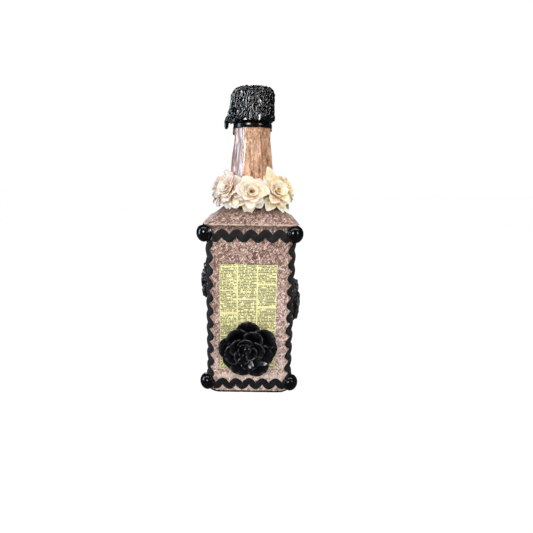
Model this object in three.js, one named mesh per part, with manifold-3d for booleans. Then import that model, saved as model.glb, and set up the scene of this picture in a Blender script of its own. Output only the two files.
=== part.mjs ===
// A square spirits bottle dressed up as an ornament: papered glass under wavy braid, corner knobs and
// flowers, closed by a screw cap under a coat of hardened drips.
// Millimetres, +Z up. The front faces -Y, and the origin is the middle of the base.
import * as THREE from 'three';
import { mergeVertices } from 'three/addons/utils/BufferGeometryUtils.js';
import Module from 'manifold-3d';

const wasm = await Module();
wasm.setup();

// Fit: the gap left between pieces that touch
const FIT = 0.3;

// Glass
const GLASS_HALF = 37;
const GLASS_CORNER = 10.8;
const GLASS_WALL = 3.2;
const BASE_THICK = 6;
const HEEL = 2.2;
const BODY_HEIGHT = 154.6;
const SHOULDER_RISE = 20;
const SHOULDER_CURVE = 1.4;
const NECK_ROOT_HALF = 18;
const NECK_TOP_HALF = 14.5;
const BULGE_HEIGHT = 48;
const NECK_STRAIGHT = 10.4;
const COLLAR_HEIGHT = 3.2;
const COLLAR_RADIUS = 15.8;
const FINISH_HEIGHT = 26;
const FINISH_RADIUS = 13.9;
const BORE_RADIUS = 10.5;
const LIP_ROUND = 0.9;
const THREAD_PITCH = 4;
const THREAD_TURNS = 1.75;
const THREAD_HEIGHT = 0.9;
const THREAD_WIDTH = 2.2;
const THREAD_CREST = 0.75;
const THREAD_TOP_DROP = 5;
const THREAD_STEPS = 20;
const THREAD_RUN_OUT = 5;

// Paper
const PAPER_THICK = 0.9;
const RIDGE_REACH = 2.4;
const RIDGE_CORNER = 8;
const RIDGE_FLARE = 4;
const PAPER_FOOT = 0.5;
const PANEL_WIDTH = 49;
const PANEL_HEIGHT = 97.1;
const PANEL_THICK = 0.5;
const PANEL_X = -1.8;
const PANEL_FOOT = 23.8;

// Closure
const RING_WALL = 0.9;
const RING_GAP = 0.5;
const CAP_WALL = 1;
const CAP_ROUND = 5;
const CAP_THREAD_ROOM = 0.6;
const LINER_THICK = 1.2;
const COAT_THICK = 1.2;
const COAT_TOP = 2.4;
const COAT_FLARE = 2.6;
const COAT_RIDGE = 1;
const COAT_RIDGES = 20;
const COAT_RAGGED = 1.8;
const COAT_RAGS = 5;
const COAT_LEAN = 0.1;
const COAT_LEANS = 4;
const COAT_SWAY = 1.9;
const DRIP_RADIUS = 1.6;
const DRIP_LENGTH = 11;

// Braid: scalloped on both edges, one edge half a wave behind the other
const BRAID_WAVE = 12;
const BRAID_SCALLOP = 4.6;
const BRAID_CORE = 0.2;
const BRAID_THICK = 1.2;
const BRAID_STEPS = 6;
const BRAID_TOP_DROP = 1.4;

// Corner knobs. They and the corner's braid are turned a little towards the bottle's side.
const CORNER_TURN = 10;
const KNOB_RADIUS = 7.6;
const KNOB_COLLAR = 2.8;
const KNOB_COLLAR_RADIUS = 6.8;
const KNOB_ROOT = 3;
const KNOB_BEADS = 2;
const KNOB_GROOVE = 0.5;
const KNOB_FOOT_RISE = 2;
const KNOB_SEGMENTS = 12;
const KNOB_DOME_STEPS = 3;

// Neck garland, fuller towards +X
const GARLAND_FLOWERS = 8;
const GARLAND_RISE = 1.5;
const GARLAND_TILT = 25;
const CREAM_REACH = 17;
const CREAM_REACH_SWING = 1.5;
const CREAM_STALK = 6;
const CREAM_STALK_SWING = 2.2;
const CREAM_STALK_RADIUS = 2;
const CREAM_CUP = 4.5;
const CREAM_THICK = 1.2;
const CREAM_PETALS = 5;
const CREAM_NOTCH = 0.6;
const CREAM_HEART_RADIUS = 4.4;

// Black flowers on the faces
const FRONT_REACH = 27;
const FRONT_X = -2.8;
const FRONT_Z = 46;
const LEFT_REACH = 18;
const LEFT_Z = 96.5;
const RIGHT_REACH = 22;
const RIGHT_Z = 78;
const SIDE_DEPTH = 0.65;
const BLACK_THICK = 1.4;
const BLACK_SEAT = 2;
const BLACK_OUTER = { petals: 8, notch: 0.8, cup: 0.2, stalk: 0.5 };
const BLACK_INNER = { petals: 6, notch: 0.75, cup: 0.3, stalk: 0.14, reach: 0.62, lift: 0.06, turn: 22.5 };
const BLACK_HEART = { radius: 0.22, lift: 0.04 };

// Petal whorls and hearts: shares of their reach, radius or height
const WHORL_STEPS = 4;
const WHORL_CENTRE = 0.2;
const WHORL_MIDDLE = 0.6;
const WHORL_UNDERSIDE = 0.97;
const HEART_OUTLINE = [[0.7, 0], [1, 0.4], [0.75, 0.8]];
const HEART_SEGMENTS = 8;

// Heights and outlines worked out from the sizes above
const NECK_ROOT_Z = BODY_HEIGHT + SHOULDER_RISE;
const BULGE_TOP_Z = NECK_ROOT_Z + BULGE_HEIGHT;
const COLLAR_Z = BULGE_TOP_Z + NECK_STRAIGHT;
const FINISH_Z = COLLAR_Z + COLLAR_HEIGHT;
const MOUTH_Z = FINISH_Z + FINISH_HEIGHT;
const PAPER_OFFSET = FIT + PAPER_THICK;
const PAPER_HALF = GLASS_HALF + PAPER_OFFSET;
const PAPER_CORNER = GLASS_CORNER + PAPER_OFFSET;
const CAP_BORE = FINISH_RADIUS + THREAD_HEIGHT + CAP_THREAD_ROOM;
const CAP_RADIUS = CAP_BORE + CAP_WALL;
const CAP_FOOT_Z = FINISH_Z + RING_GAP;
const LINER_Z = MOUTH_Z + FIT;
const CAP_CEILING_Z = LINER_Z + LINER_THICK + FIT;
const CAP_TOP_Z = CAP_CEILING_Z + CAP_WALL;
const CAP_ROUND_R = CAP_RADIUS - CAP_ROUND;
const CAP_ROUND_Z = CAP_TOP_Z - CAP_ROUND;
const RING_BORE = COLLAR_RADIUS + FIT;
const RING_RADIUS = RING_BORE + RING_WALL;
const KNOB_TOP_Z = BODY_HEIGHT - FIT - KNOB_RADIUS;
const KNOB_FOOT_Z = KNOB_FOOT_RISE + KNOB_RADIUS;

// Looks: colour, roughness, metalness
const LOOKS = {
  glass: [0xbfcac4, 0.08, 0],
  neckPaper: [0xc99a74, 0.25, 0],
  tissue: [0xa68a7e, 0.7, 0],
  newsprint: [0xdcd49a, 0.8, 0],
  gloss: [0x0b0b0d, 0.2, 0],
  liner: [0xe8e6e0, 0.6, 0],
  braid: [0x1d1d1f, 0.75, 0],
  petal: [0xf0ddc6, 0.7, 0],
  heart: [0xcf9f52, 0.6, 0],
};

const EIGHTH = Math.PI / 4;
const QUARTER = Math.PI / 2;
const TURN = 2 * Math.PI;
const { lerp, degToRad } = THREE.MathUtils;

// Solids

function signedVolume(geometry) {
  const position = geometry.attributes.position;
  const corners = [new THREE.Vector3(), new THREE.Vector3(), new THREE.Vector3()];
  let volume = 0;
  for (let face = 0; face < geometry.index.count; face += 3) {
    corners.forEach((corner, k) => corner.fromBufferAttribute(position, geometry.index.getX(face + k)));
    volume += corners[0].dot(corners[1].cross(corners[2])) / 6;
  }
  return volume;
}

function outward(geometry) {
  if (signedVolume(geometry) < 0) {
    geometry.setIndex(Array.from(geometry.index.array).reverse());
  }
  geometry.computeVertexNormals();
  return geometry;
}

function meshGeometry(points, faces) {
  const geometry = new THREE.BufferGeometry().setFromPoints(points);
  geometry.setIndex(faces);
  return outward(geometry);
}

// Joins rings of equal count into one skin. An open run is capped at both ends, a closed one is a tube wall.
function ringSolid(rings, closed = false) {
  const count = rings[0].length;
  const points = rings.flat();
  const faces = [];
  const bands = closed ? rings.length : rings.length - 1;
  for (let band = 0; band < bands; band += 1) {
    const near = band * count;
    const far = ((band + 1) % rings.length) * count;
    for (let i = 0; i < count; i += 1) {
      const next = (i + 1) % count;
      faces.push(near + i, near + next, far + next, near + i, far + next, far + i);
    }
  }
  const cap = (ring, first, turned) => {
    const middle = points.length;
    points.push(ring.reduce((sum, p) => sum.add(p), new THREE.Vector3()).divideScalar(count));
    for (let i = 0; i < count; i += 1) {
      const next = (i + 1) % count;
      faces.push(middle, first + (turned ? next : i), first + (turned ? i : next));
    }
  };
  if (!closed) {
    cap(rings[0], 0, true);
    cap(rings.at(-1), (rings.length - 1) * count, false);
  }
  return meshGeometry(points, faces);
}

// Profile of [radius, height] pairs turned about Z
function lathe(profile, segments) {
  const points = profile.map(([radius, height]) => new THREE.Vector2(radius, height));
  return outward(new THREE.LatheGeometry(points, segments).rotateX(QUARTER));
}

function toSolid(geometry) {
  const bare = geometry.clone();
  bare.deleteAttribute('normal');
  bare.deleteAttribute('uv');
  const merged = mergeVertices(bare, 1e-4);
  const faces = [];
  for (let face = 0; face < merged.index.count; face += 3) {
    const [a, b, c] = [0, 1, 2].map((k) => merged.index.getX(face + k));
    if (a !== b && b !== c && c !== a) {
      faces.push(a, b, c);
    }
  }
  const vertProperties = merged.attributes.position.array;
  return new wasm.Manifold(new wasm.Mesh({ numProp: 3, vertProperties, triVerts: new Uint32Array(faces) }));
}

function toGeometry(solid) {
  const { vertProperties, triVerts } = solid.getMesh();
  const geometry = new THREE.BufferGeometry();
  geometry.setAttribute('position', new THREE.BufferAttribute(vertProperties, 3));
  geometry.setIndex(new THREE.BufferAttribute(triVerts, 1));
  geometry.computeVertexNormals();
  return geometry;
}

const join = (...parts) => toGeometry(parts.map(toSolid).reduce((sum, part) => sum.add(part)));
const cut = (body, tool) => toGeometry(toSolid(body).subtract(toSolid(tool)));
const keep = (body, zone) => toGeometry(toSolid(body).intersect(toSolid(zone)));

// Sections of the bottle: all have the same points, so any two can be joined or mixed

const QUARTER_POINTS = 6;
const HALF_STEP = EIGHTH / QUARTER_POINTS;
const ringAngles = Array.from({ length: 4 * QUARTER_POINTS }, (_, i) => (2 * i + 1) * HALF_STEP);

function squareRing(half, corner, z) {
  const flat = half - corner;
  const reach = corner / Math.cos(HALF_STEP);
  return ringAngles.map((angle) => {
    const [x, y] = [Math.cos(angle), Math.sin(angle)];
    return new THREE.Vector3(Math.sign(x) * flat + reach * x, Math.sign(y) * flat + reach * y, z);
  });
}

const circleRing = (radius, z) => squareRing(radius, radius, z);

function octagonRing(half, z) {
  return ringAngles.map((angle) => {
    const reach = half / Math.cos(angle - Math.round(angle / EIGHTH) * EIGHTH);
    return new THREE.Vector3(reach * Math.cos(angle), reach * Math.sin(angle), z);
  });
}

const mixRing = (from, to, share) => from.map((point, i) => point.clone().lerp(to[i], share));

// The neck's facets: upright at the top, then swelling down to the shoulder
function neckHalf(z) {
  const down = THREE.MathUtils.clamp((BULGE_TOP_Z - z) / BULGE_HEIGHT, 0, 1);
  return lerp(NECK_TOP_HALF, NECK_ROOT_HALF, 1 - (1 - down) ** 2);
}

const SHOULDER_STEPS = 5;
const NECK_STEPS = 4;

// Rings up the shoulder, from the square body to the eight-sided neck, grown by an offset
function shoulderRings(offset) {
  return Array.from({ length: SHOULDER_STEPS }, (_, step) => {
    const climb = step / SHOULDER_STEPS;
    const share = 1 - (1 - climb) ** SHOULDER_CURVE;
    const z = BODY_HEIGHT + climb * SHOULDER_RISE;
    const square = squareRing(GLASS_HALF + offset, GLASS_CORNER + offset, z);
    return mixRing(square, octagonRing(NECK_ROOT_HALF + offset, z), share);
  });
}

function neckRings(offset, ring = octagonRing) {
  const bulge = Array.from({ length: NECK_STEPS + 1 }, (_, step) => {
    const z = NECK_ROOT_Z + (step / NECK_STEPS) * BULGE_HEIGHT;
    return ring(neckHalf(z) + offset, z);
  });
  return [...bulge, ring(NECK_TOP_HALF + offset, COLLAR_Z)];
}

// Glass bottle, open at the mouth

function threadRidge() {
  const steps = Math.round(THREAD_TURNS * THREAD_STEPS);
  const startZ = MOUTH_Z - THREAD_TOP_DROP - THREAD_TURNS * THREAD_PITCH;
  const root = FINISH_RADIUS - THREAD_HEIGHT / 2;
  const rings = Array.from({ length: steps + 1 }, (_, step) => {
    const angle = (step / THREAD_STEPS) * TURN;
    const z = startZ + (step / THREAD_STEPS) * THREAD_PITCH;
    const fade = Math.min(1, step / THREAD_RUN_OUT, (steps - step) / THREAD_RUN_OUT);
    const crest = FINISH_RADIUS + THREAD_HEIGHT * fade;
    const section = [[root, -THREAD_WIDTH / 2], [crest, -THREAD_CREST / 2], [crest, THREAD_CREST / 2],
      [root, THREAD_WIDTH / 2]];
    return section.map(([r, rise]) => new THREE.Vector3(r * Math.cos(angle), r * Math.sin(angle), z + rise));
  });
  return ringSolid(rings);
}

function glassBottle() {
  const outside = [
    squareRing(GLASS_HALF - HEEL, GLASS_CORNER, 0),
    squareRing(GLASS_HALF, GLASS_CORNER, HEEL),
    ...shoulderRings(0),
    ...neckRings(0),
    circleRing(COLLAR_RADIUS, COLLAR_Z),
    circleRing(COLLAR_RADIUS, FINISH_Z),
    circleRing(FINISH_RADIUS, FINISH_Z),
    circleRing(FINISH_RADIUS, MOUTH_Z - LIP_ROUND),
    circleRing(FINISH_RADIUS - LIP_ROUND, MOUTH_Z),
  ];
  const inside = [
    squareRing(GLASS_HALF - GLASS_WALL, GLASS_CORNER - GLASS_WALL, BASE_THICK),
    ...shoulderRings(-GLASS_WALL),
    ...neckRings(-GLASS_WALL, circleRing).slice(0, NECK_STEPS),
    circleRing(BORE_RADIUS, BULGE_TOP_Z),
    circleRing(BORE_RADIUS, MOUTH_Z - LIP_ROUND),
    circleRing(BORE_RADIUS + LIP_ROUND, MOUTH_Z),
  ];
  return join(ringSolid([...outside, ...inside.reverse()]), threadRidge());
}

// Paper round the glass: each wrap is a sleeve between an inner and an outer skin

const sleeve = (inner, outer) => ringSolid([...outer, ...inner.reverse()], true);
const facePanel = (width, height, depth) => new THREE.BoxGeometry(width, depth, height);

// Outside of the papered body, grown by an offset: straight sides that flare to a ridge under the shoulder
function bodyOutside(offset) {
  const side = (z) => squareRing(PAPER_HALF + offset, PAPER_CORNER + offset, z);
  const ridge = squareRing(PAPER_HALF + RIDGE_REACH + offset, RIDGE_CORNER + offset, BODY_HEIGHT - FIT);
  return [side(PAPER_FOOT), side(BODY_HEIGHT - RIDGE_FLARE), ridge];
}

function bodyWrap() {
  const inside = [PAPER_FOOT, BODY_HEIGHT - FIT].map((z) => squareRing(GLASS_HALF + FIT, GLASS_CORNER + FIT, z));
  const window = facePanel(PANEL_WIDTH + 2 * FIT, PANEL_HEIGHT + 2 * FIT, 2 * GLASS_CORNER);
  window.translate(PANEL_X, -GLASS_HALF, PANEL_FOOT + PANEL_HEIGHT / 2);
  return cut(sleeve(inside, bodyOutside(0)), window);
}

function shoulderWrap() {
  const inner = shoulderRings(FIT);
  const outer = shoulderRings(PAPER_OFFSET);
  outer[0] = squareRing(PAPER_HALF + RIDGE_REACH, RIDGE_CORNER, BODY_HEIGHT);
  const lastStep = SHOULDER_STEPS - 1;
  const endZ = NECK_ROOT_Z - FIT;
  const reachEnd = (offset, rings) => {
    const root = octagonRing(NECK_ROOT_HALF + offset, NECK_ROOT_Z);
    const share = (endZ - rings[lastStep][0].z) / (NECK_ROOT_Z - rings[lastStep][0].z);
    return [...rings, mixRing(rings[lastStep], root, share)];
  };
  return sleeve(reachEnd(FIT, inner), reachEnd(PAPER_OFFSET, outer));
}

function neckWrap() {
  const inner = neckRings(FIT);
  const outer = neckRings(PAPER_OFFSET);
  const lower = (ring) => ring.map((point) => point.clone().setZ(COLLAR_Z - FIT));
  inner.push(lower(inner.pop()));
  outer.push(lower(outer.pop()));
  return sleeve(inner, outer);
}

function newsprintPanel() {
  const panel = facePanel(PANEL_WIDTH, PANEL_HEIGHT, PANEL_THICK);
  return panel.translate(PANEL_X, -(GLASS_HALF + FIT + PANEL_THICK / 2), PANEL_FOOT + PANEL_HEIGHT / 2);
}

// Closure: ring left on the collar, liner on the mouth, cap over both, coat over the cap

const ROUND_SEGMENTS = 32;

function tamperRing() {
  const [low, high] = [COLLAR_Z + FIT, FINISH_Z];
  const profile = [[RING_BORE, low], [RING_RADIUS, low], [RING_RADIUS, high], [RING_BORE, high],
    [RING_BORE, low]];
  return lathe(profile, ROUND_SEGMENTS);
}

// Points down the cap's rounded top edge, from the crown to the skirt, grown outwards and upwards
const BROW_STEPS = 3;

function browArc(outwards, upwards) {
  return Array.from({ length: BROW_STEPS + 1 }, (_, step) => {
    const angle = (1 - step / BROW_STEPS) * QUARTER;
    const [across, up] = [CAP_ROUND + outwards, CAP_ROUND + upwards];
    return [CAP_ROUND_R + across * Math.cos(angle), CAP_ROUND_Z + up * Math.sin(angle)];
  });
}

// The liner is as wide as the rounded inside of the cap lets it be
function capLiner() {
  const top = LINER_Z + LINER_THICK;
  const [[flatR, flatZ], [nextR, nextZ]] = browArc(-CAP_WALL, -CAP_WALL);
  const radius = lerp(flatR, nextR, (flatZ - top) / (flatZ - nextZ)) - FIT;
  return lathe([[0, LINER_Z], [radius, LINER_Z], [radius, top], [0, top]], ROUND_SEGMENTS);
}

function screwCap() {
  const profile = [[0, CAP_CEILING_Z], ...browArc(-CAP_WALL, -CAP_WALL), [CAP_BORE, CAP_FOOT_Z],
    [CAP_RADIUS, CAP_FOOT_Z], ...browArc(0, 0).reverse(), [0, CAP_TOP_Z]];
  return lathe(profile, ROUND_SEGMENTS);
}

// Hardened drips: upright ridges that lean as they run down, a ragged lower edge and one free drip. The coat
// sags towards -X, where the free drip hangs.
function capCoat() {
  const foot = CAP_FOOT_Z + FIT;
  const skirt = CAP_RADIUS + FIT;
  const angles = Array.from({ length: 2 * COAT_RIDGES }, (_, i) => (i / (2 * COAT_RIDGES)) * TURN);
  const ring = (radius, z, ridge = 0, lean = 0) => angles.map((angle, i) => {
    const r = radius + (i % 2 ? ridge : 0);
    const a = angle + lean * Math.sin(COAT_LEANS * angle);
    return new THREE.Vector3(r * Math.cos(a), r * Math.sin(a), z);
  });
  const sag = (points, sway) => points.map((point) => point.setX(point.x - sway));
  const lowEdge = (radius, ridge) => ring(radius, foot, ridge, COAT_LEAN).map((point) => {
    const drop = (1 + Math.sin(COAT_RAGS * Math.atan2(point.y, point.x))) / 2;
    return point.setZ(foot + COAT_RAGGED * drop);
  });
  const outerBrow = browArc(FIT + COAT_THICK, FIT + COAT_TOP).map(([r, z]) => ring(r, z, COAT_RIDGE / 2));
  const innerBrow = browArc(FIT, FIT).map(([r, z]) => ring(r, z)).reverse();
  const waistFlare = COAT_FLARE / 3;
  const waistZ = (foot + CAP_ROUND_Z) / 2;
  const rings = [
    ...outerBrow,
    sag(ring(skirt + COAT_THICK + waistFlare, waistZ, COAT_RIDGE, COAT_LEAN / 2), COAT_SWAY / 3),
    sag(lowEdge(skirt + COAT_THICK + COAT_FLARE - COAT_RIDGE / 2, COAT_RIDGE), COAT_SWAY),
    lowEdge(skirt, 0),
    ...innerBrow,
  ];
  const drip = new THREE.SphereGeometry(DRIP_RADIUS, 8, 6).rotateX(QUARTER);
  drip.scale(1, 1, DRIP_LENGTH / (2 * DRIP_RADIUS));
  drip.translate(-(skirt + COAT_THICK + COAT_FLARE + COAT_SWAY - DRIP_RADIUS), 0, foot);
  return join(ringSolid(rings), drip);
}

// Wavy braid, lying in XY with its back at z = 0: round scallops on both edges, half a wave apart
function braidStrip(length) {
  const steps = Math.round((length / BRAID_WAVE) * BRAID_STEPS);
  const sections = Array.from({ length: steps + 1 }, (_, step) => {
    const x = (step / steps - 0.5) * length;
    const phase = (Math.PI * x) / BRAID_WAVE;
    const upper = BRAID_CORE + BRAID_SCALLOP * Math.abs(Math.cos(phase));
    const lower = -BRAID_CORE - BRAID_SCALLOP * Math.abs(Math.sin(phase));
    const corners = [[lower, 0], [upper, 0], [upper, BRAID_THICK], [lower, BRAID_THICK]];
    return corners.map(([y, z]) => new THREE.Vector3(x, y, z));
  });
  return ringSolid(sections);
}

// Corner knob on the +X diagonal: a collar of beads and a dome, seated on the rounded corner at a height. A turn
// swings it about the corner's own centre.
const CORNER_REACH = (PAPER_HALF - PAPER_CORNER) * Math.SQRT2 + PAPER_CORNER;

function cornerKnob(z, turn) {
  const dome = PAPER_CORNER + KNOB_COLLAR;
  const root = PAPER_CORNER - KNOB_ROOT;
  const profile = [[0, root]];
  for (let bead = 0; bead < KNOB_BEADS; bead += 1) {
    const start = bead ? PAPER_CORNER + (KNOB_COLLAR * bead) / KNOB_BEADS : root;
    const end = PAPER_CORNER + (KNOB_COLLAR * (bead + 1)) / KNOB_BEADS;
    profile.push([KNOB_COLLAR_RADIUS, start], [KNOB_COLLAR_RADIUS, end - 2 * KNOB_GROOVE],
      [KNOB_COLLAR_RADIUS - KNOB_GROOVE, end - KNOB_GROOVE]);
  }
  for (let step = 0; step < KNOB_DOME_STEPS; step += 1) {
    const angle = (step / KNOB_DOME_STEPS) * QUARTER;
    profile.push([KNOB_RADIUS * Math.cos(angle), dome + KNOB_RADIUS * Math.sin(angle)]);
  }
  profile.push([0, dome + KNOB_RADIUS]);
  const knob = lathe(profile, KNOB_SEGMENTS).rotateY(QUARTER).rotateZ(turn);
  knob.translate(CORNER_REACH - PAPER_CORNER, 0, 0);
  const seat = ringSolid(bodyOutside(FIT)).rotateZ(EIGHTH).translate(0, 0, -z);
  return cut(knob, seat);
}

// One whorl of petals facing +Z: a lobed dish whose underside runs down into a round stalk
function petalWhorl({ petals, reach, notch, cup, thick, stalk, stalkRadius, turn = 0 }) {
  const count = petals * WHORL_STEPS;
  const angles = Array.from({ length: count }, (_, i) => (i / count) * TURN);
  const edge = (angle) => reach * lerp(notch, 1, Math.sqrt(Math.abs(Math.cos((petals * angle) / 2))));
  const dish = (share, lift) => angles.map((angle) => {
    const r = edge(angle) * share;
    const height = lift + cup * (r / reach) ** 2;
    return new THREE.Vector3(r * Math.cos(angle + turn), r * Math.sin(angle + turn), height);
  });
  const disc = (z) => angles.map((angle) => {
    return new THREE.Vector3(stalkRadius * Math.cos(angle + turn), stalkRadius * Math.sin(angle + turn), z);
  });
  return ringSolid([dish(WHORL_CENTRE, thick), dish(WHORL_MIDDLE, thick), dish(1, thick),
    dish(WHORL_UNDERSIDE, 0), dish(WHORL_MIDDLE, 0), disc(0), disc(-stalk)]);
}

// Rolled heart of a flower: a little bud standing on z = 0
function flowerHeart(radius, height) {
  const outline = HEART_OUTLINE.map(([across, up]) => [radius * across, height * up]);
  return lathe([[0, 0], ...outline, [0, height]], HEART_SEGMENTS);
}

const model = new THREE.Group();

function addPiece(parent, name, geometry, look) {
  const [color, roughness, metalness] = LOOKS[look];
  const mesh = new THREE.Mesh(geometry, new THREE.MeshStandardMaterial({ color, roughness, metalness }));
  mesh.name = name;
  parent.add(mesh);
  return mesh;
}

function addGroup(angle) {
  const group = new THREE.Group();
  group.rotation.z = angle;
  model.add(group);
  return group;
}

addPiece(model, 'glass_bottle', glassBottle(), 'glass');
addPiece(model, 'body_wrap', bodyWrap(), 'tissue');
addPiece(model, 'shoulder_wrap', shoulderWrap(), 'tissue');
addPiece(model, 'neck_wrap', neckWrap(), 'neckPaper');
addPiece(model, 'newsprint_panel', newsprintPanel(), 'newsprint');
addPiece(model, 'tamper_ring', tamperRing(), 'gloss');
addPiece(model, 'cap_liner', capLiner(), 'liner');
addPiece(model, 'screw_cap', screwCap(), 'gloss');
addPiece(model, 'cap_drip_coat', capCoat(), 'gloss');

// Braid and knobs: one strip along the top and foot of each face and one up each corner. The front corners
// have knobs at both ends of their strip, and the back corners' strips run on to the ends instead.
const FACES = ['front', 'right', 'back', 'left'];
const CORNERS = ['front_right', 'back_right', 'back_left', 'front_left'];
const KNOB_LEVELS = { top: KNOB_TOP_Z, foot: KNOB_FOOT_Z };
const BRAID_LEVELS = { top: KNOB_TOP_Z - BRAID_TOP_DROP, foot: KNOB_FOOT_Z };
const LEVEL_SPAN = KNOB_TOP_Z - KNOB_FOOT_Z;
const faceStrip = braidStrip(2 * (PAPER_HALF - PAPER_CORNER - FIT));
const frontCornerStrip = braidStrip(LEVEL_SPAN - 2 * (KNOB_RADIUS + FIT)).rotateZ(QUARTER);
const backCornerStrip = braidStrip(LEVEL_SPAN + BRAID_SCALLOP).rotateZ(QUARTER);

FACES.forEach((face, i) => {
  const side = addGroup(i * QUARTER);
  for (const [level, z] of Object.entries(BRAID_LEVELS)) {
    const strip = addPiece(side, `braid_${level}_${face}`, faceStrip, 'braid');
    strip.rotation.x = QUARTER;
    strip.position.set(0, -(PAPER_HALF + FIT), z);
  }
});

function addCornerKnobs(edge, corner, turn) {
  for (const [level, z] of Object.entries(KNOB_LEVELS)) {
    const piece = addPiece(edge, `knob_${level}_${corner}`, cornerKnob(z, turn), 'gloss');
    piece.rotation.z = -QUARTER;
    piece.position.z = z;
  }
}

CORNERS.forEach((corner, i) => {
  const edge = addGroup(i * QUARTER + EIGHTH);
  const atFront = corner.startsWith('front');
  const pivot = new THREE.Group();
  pivot.position.y = PAPER_CORNER - CORNER_REACH;
  const turn = degToRad(i % 2 ? -CORNER_TURN : CORNER_TURN);
  pivot.rotation.z = turn;
  edge.add(pivot);
  const strip = addPiece(pivot, `braid_corner_${corner}`, atFront ? frontCornerStrip : backCornerStrip, 'braid');
  strip.rotation.x = QUARTER;
  strip.position.set(0, -(PAPER_CORNER + FIT), (KNOB_TOP_Z + KNOB_FOOT_Z) / 2);
  if (atFront) {
    addCornerKnobs(edge, corner, turn);
  }
});

// Garland: cream flowers round the foot of the neck, each kept inside its own share of the circle
const GARLAND_FAR = 80;

function garlandShare() {
  const halfWidth = GARLAND_FAR * Math.tan(Math.PI / GARLAND_FLOWERS) - FIT;
  const share = new THREE.Shape([new THREE.Vector2(0, -FIT), new THREE.Vector2(-halfWidth, -GARLAND_FAR),
    new THREE.Vector2(halfWidth, -GARLAND_FAR)]);
  return new THREE.ExtrudeGeometry(share, { depth: NECK_ROOT_Z + GARLAND_FAR, bevelEnabled: false });
}

function addGarland() {
  const tilt = degToRad(GARLAND_TILT);
  const seatZ = NECK_ROOT_Z + GARLAND_RISE + CREAM_STALK_RADIUS;
  const seatRadius = neckHalf(seatZ) + PAPER_OFFSET + FIT + CREAM_STALK_RADIUS * Math.sin(tilt);
  const share = garlandShare();
  for (let i = 0; i < GARLAND_FLOWERS; i += 1) {
    const angle = (i / GARLAND_FLOWERS) * TURN;
    const reach = CREAM_REACH + CREAM_REACH_SWING * Math.sin(angle);
    const stalk = CREAM_STALK + CREAM_STALK_SWING * Math.sin(angle);
    const petals = petalWhorl({ petals: CREAM_PETALS, reach, notch: CREAM_NOTCH, cup: CREAM_CUP,
      thick: CREAM_THICK, stalk, stalkRadius: CREAM_STALK_RADIUS, turn: QUARTER });
    petals.translate(0, 0, stalk).rotateX(QUARTER - tilt).translate(0, -seatRadius, seatZ);
    const heart = flowerHeart(CREAM_HEART_RADIUS, CREAM_HEART_RADIUS);
    const heartLift = CREAM_CUP * (CREAM_HEART_RADIUS / reach) ** 2;
    heart.translate(0, 0, stalk + CREAM_THICK + FIT + heartLift);
    heart.rotateX(QUARTER - tilt).translate(0, -seatRadius, seatZ);
    const place = addGroup(angle);
    addPiece(place, `cream_flower_${i + 1}_petals`, keep(petals, share), 'petal');
    addPiece(place, `cream_flower_${i + 1}_heart`, heart, 'heart');
  }
}
addGarland();

// Black flower on a face: an open outer whorl, a cupped inner whorl and a heart, stacked on the paper.
// A depth below 1 presses the flower flatter.
function blackWhorl(reach, depth, shares, whorlReach, stalk) {
  return petalWhorl({ petals: shares.petals, notch: shares.notch, reach: whorlReach,
    cup: reach * shares.cup * depth, thick: BLACK_THICK * depth, stalk, stalkRadius: reach * shares.stalk,
    turn: degToRad(shares.turn ?? 0) });
}

function addBlackFlower(name, angle, x, z, reach, depth) {
  const thick = BLACK_THICK * depth;
  const seat = BLACK_SEAT * depth;
  const innerStalk = reach * BLACK_INNER.lift * depth;
  const innerReach = reach * BLACK_INNER.reach;
  const innerLift = seat + thick + FIT + innerStalk;
  const heartLift = innerLift + thick + FIT + reach * BLACK_HEART.lift * depth;
  const heartRadius = reach * BLACK_HEART.radius;
  const layers = {
    outer_petals: blackWhorl(reach, depth, BLACK_OUTER, reach, seat).translate(0, 0, seat),
    inner_petals: blackWhorl(reach, depth, BLACK_INNER, innerReach, innerStalk).translate(0, 0, innerLift),
    heart: flowerHeart(heartRadius, heartRadius * depth).translate(0, 0, heartLift),
  };
  const side = addGroup(angle);
  for (const [layer, geometry] of Object.entries(layers)) {
    const piece = addPiece(side, `${name}_${layer}`, geometry, 'gloss');
    piece.rotation.x = QUARTER;
    piece.position.set(x, -(PAPER_HALF + FIT), z);
  }
}
addBlackFlower('front_flower', 0, FRONT_X, FRONT_Z, FRONT_REACH, 1);
addBlackFlower('right_flower', QUARTER, 0, RIGHT_Z, RIGHT_REACH, SIDE_DEPTH);
addBlackFlower('left_flower', -QUARTER, 0, LEFT_Z, LEFT_REACH, SIDE_DEPTH);

export default model;
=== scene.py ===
"""Looks of a square bottle dressed as an ornament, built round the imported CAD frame.

Lengths are metres and +Z is up. Angles go round the bottle from the front, which faces -Y, so that the
right-hand side is at +90 degrees. Sizes that the frame holds are read from it.
"""
import math
import random

import bpy
from mathutils import Matrix, Vector, noise


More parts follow.
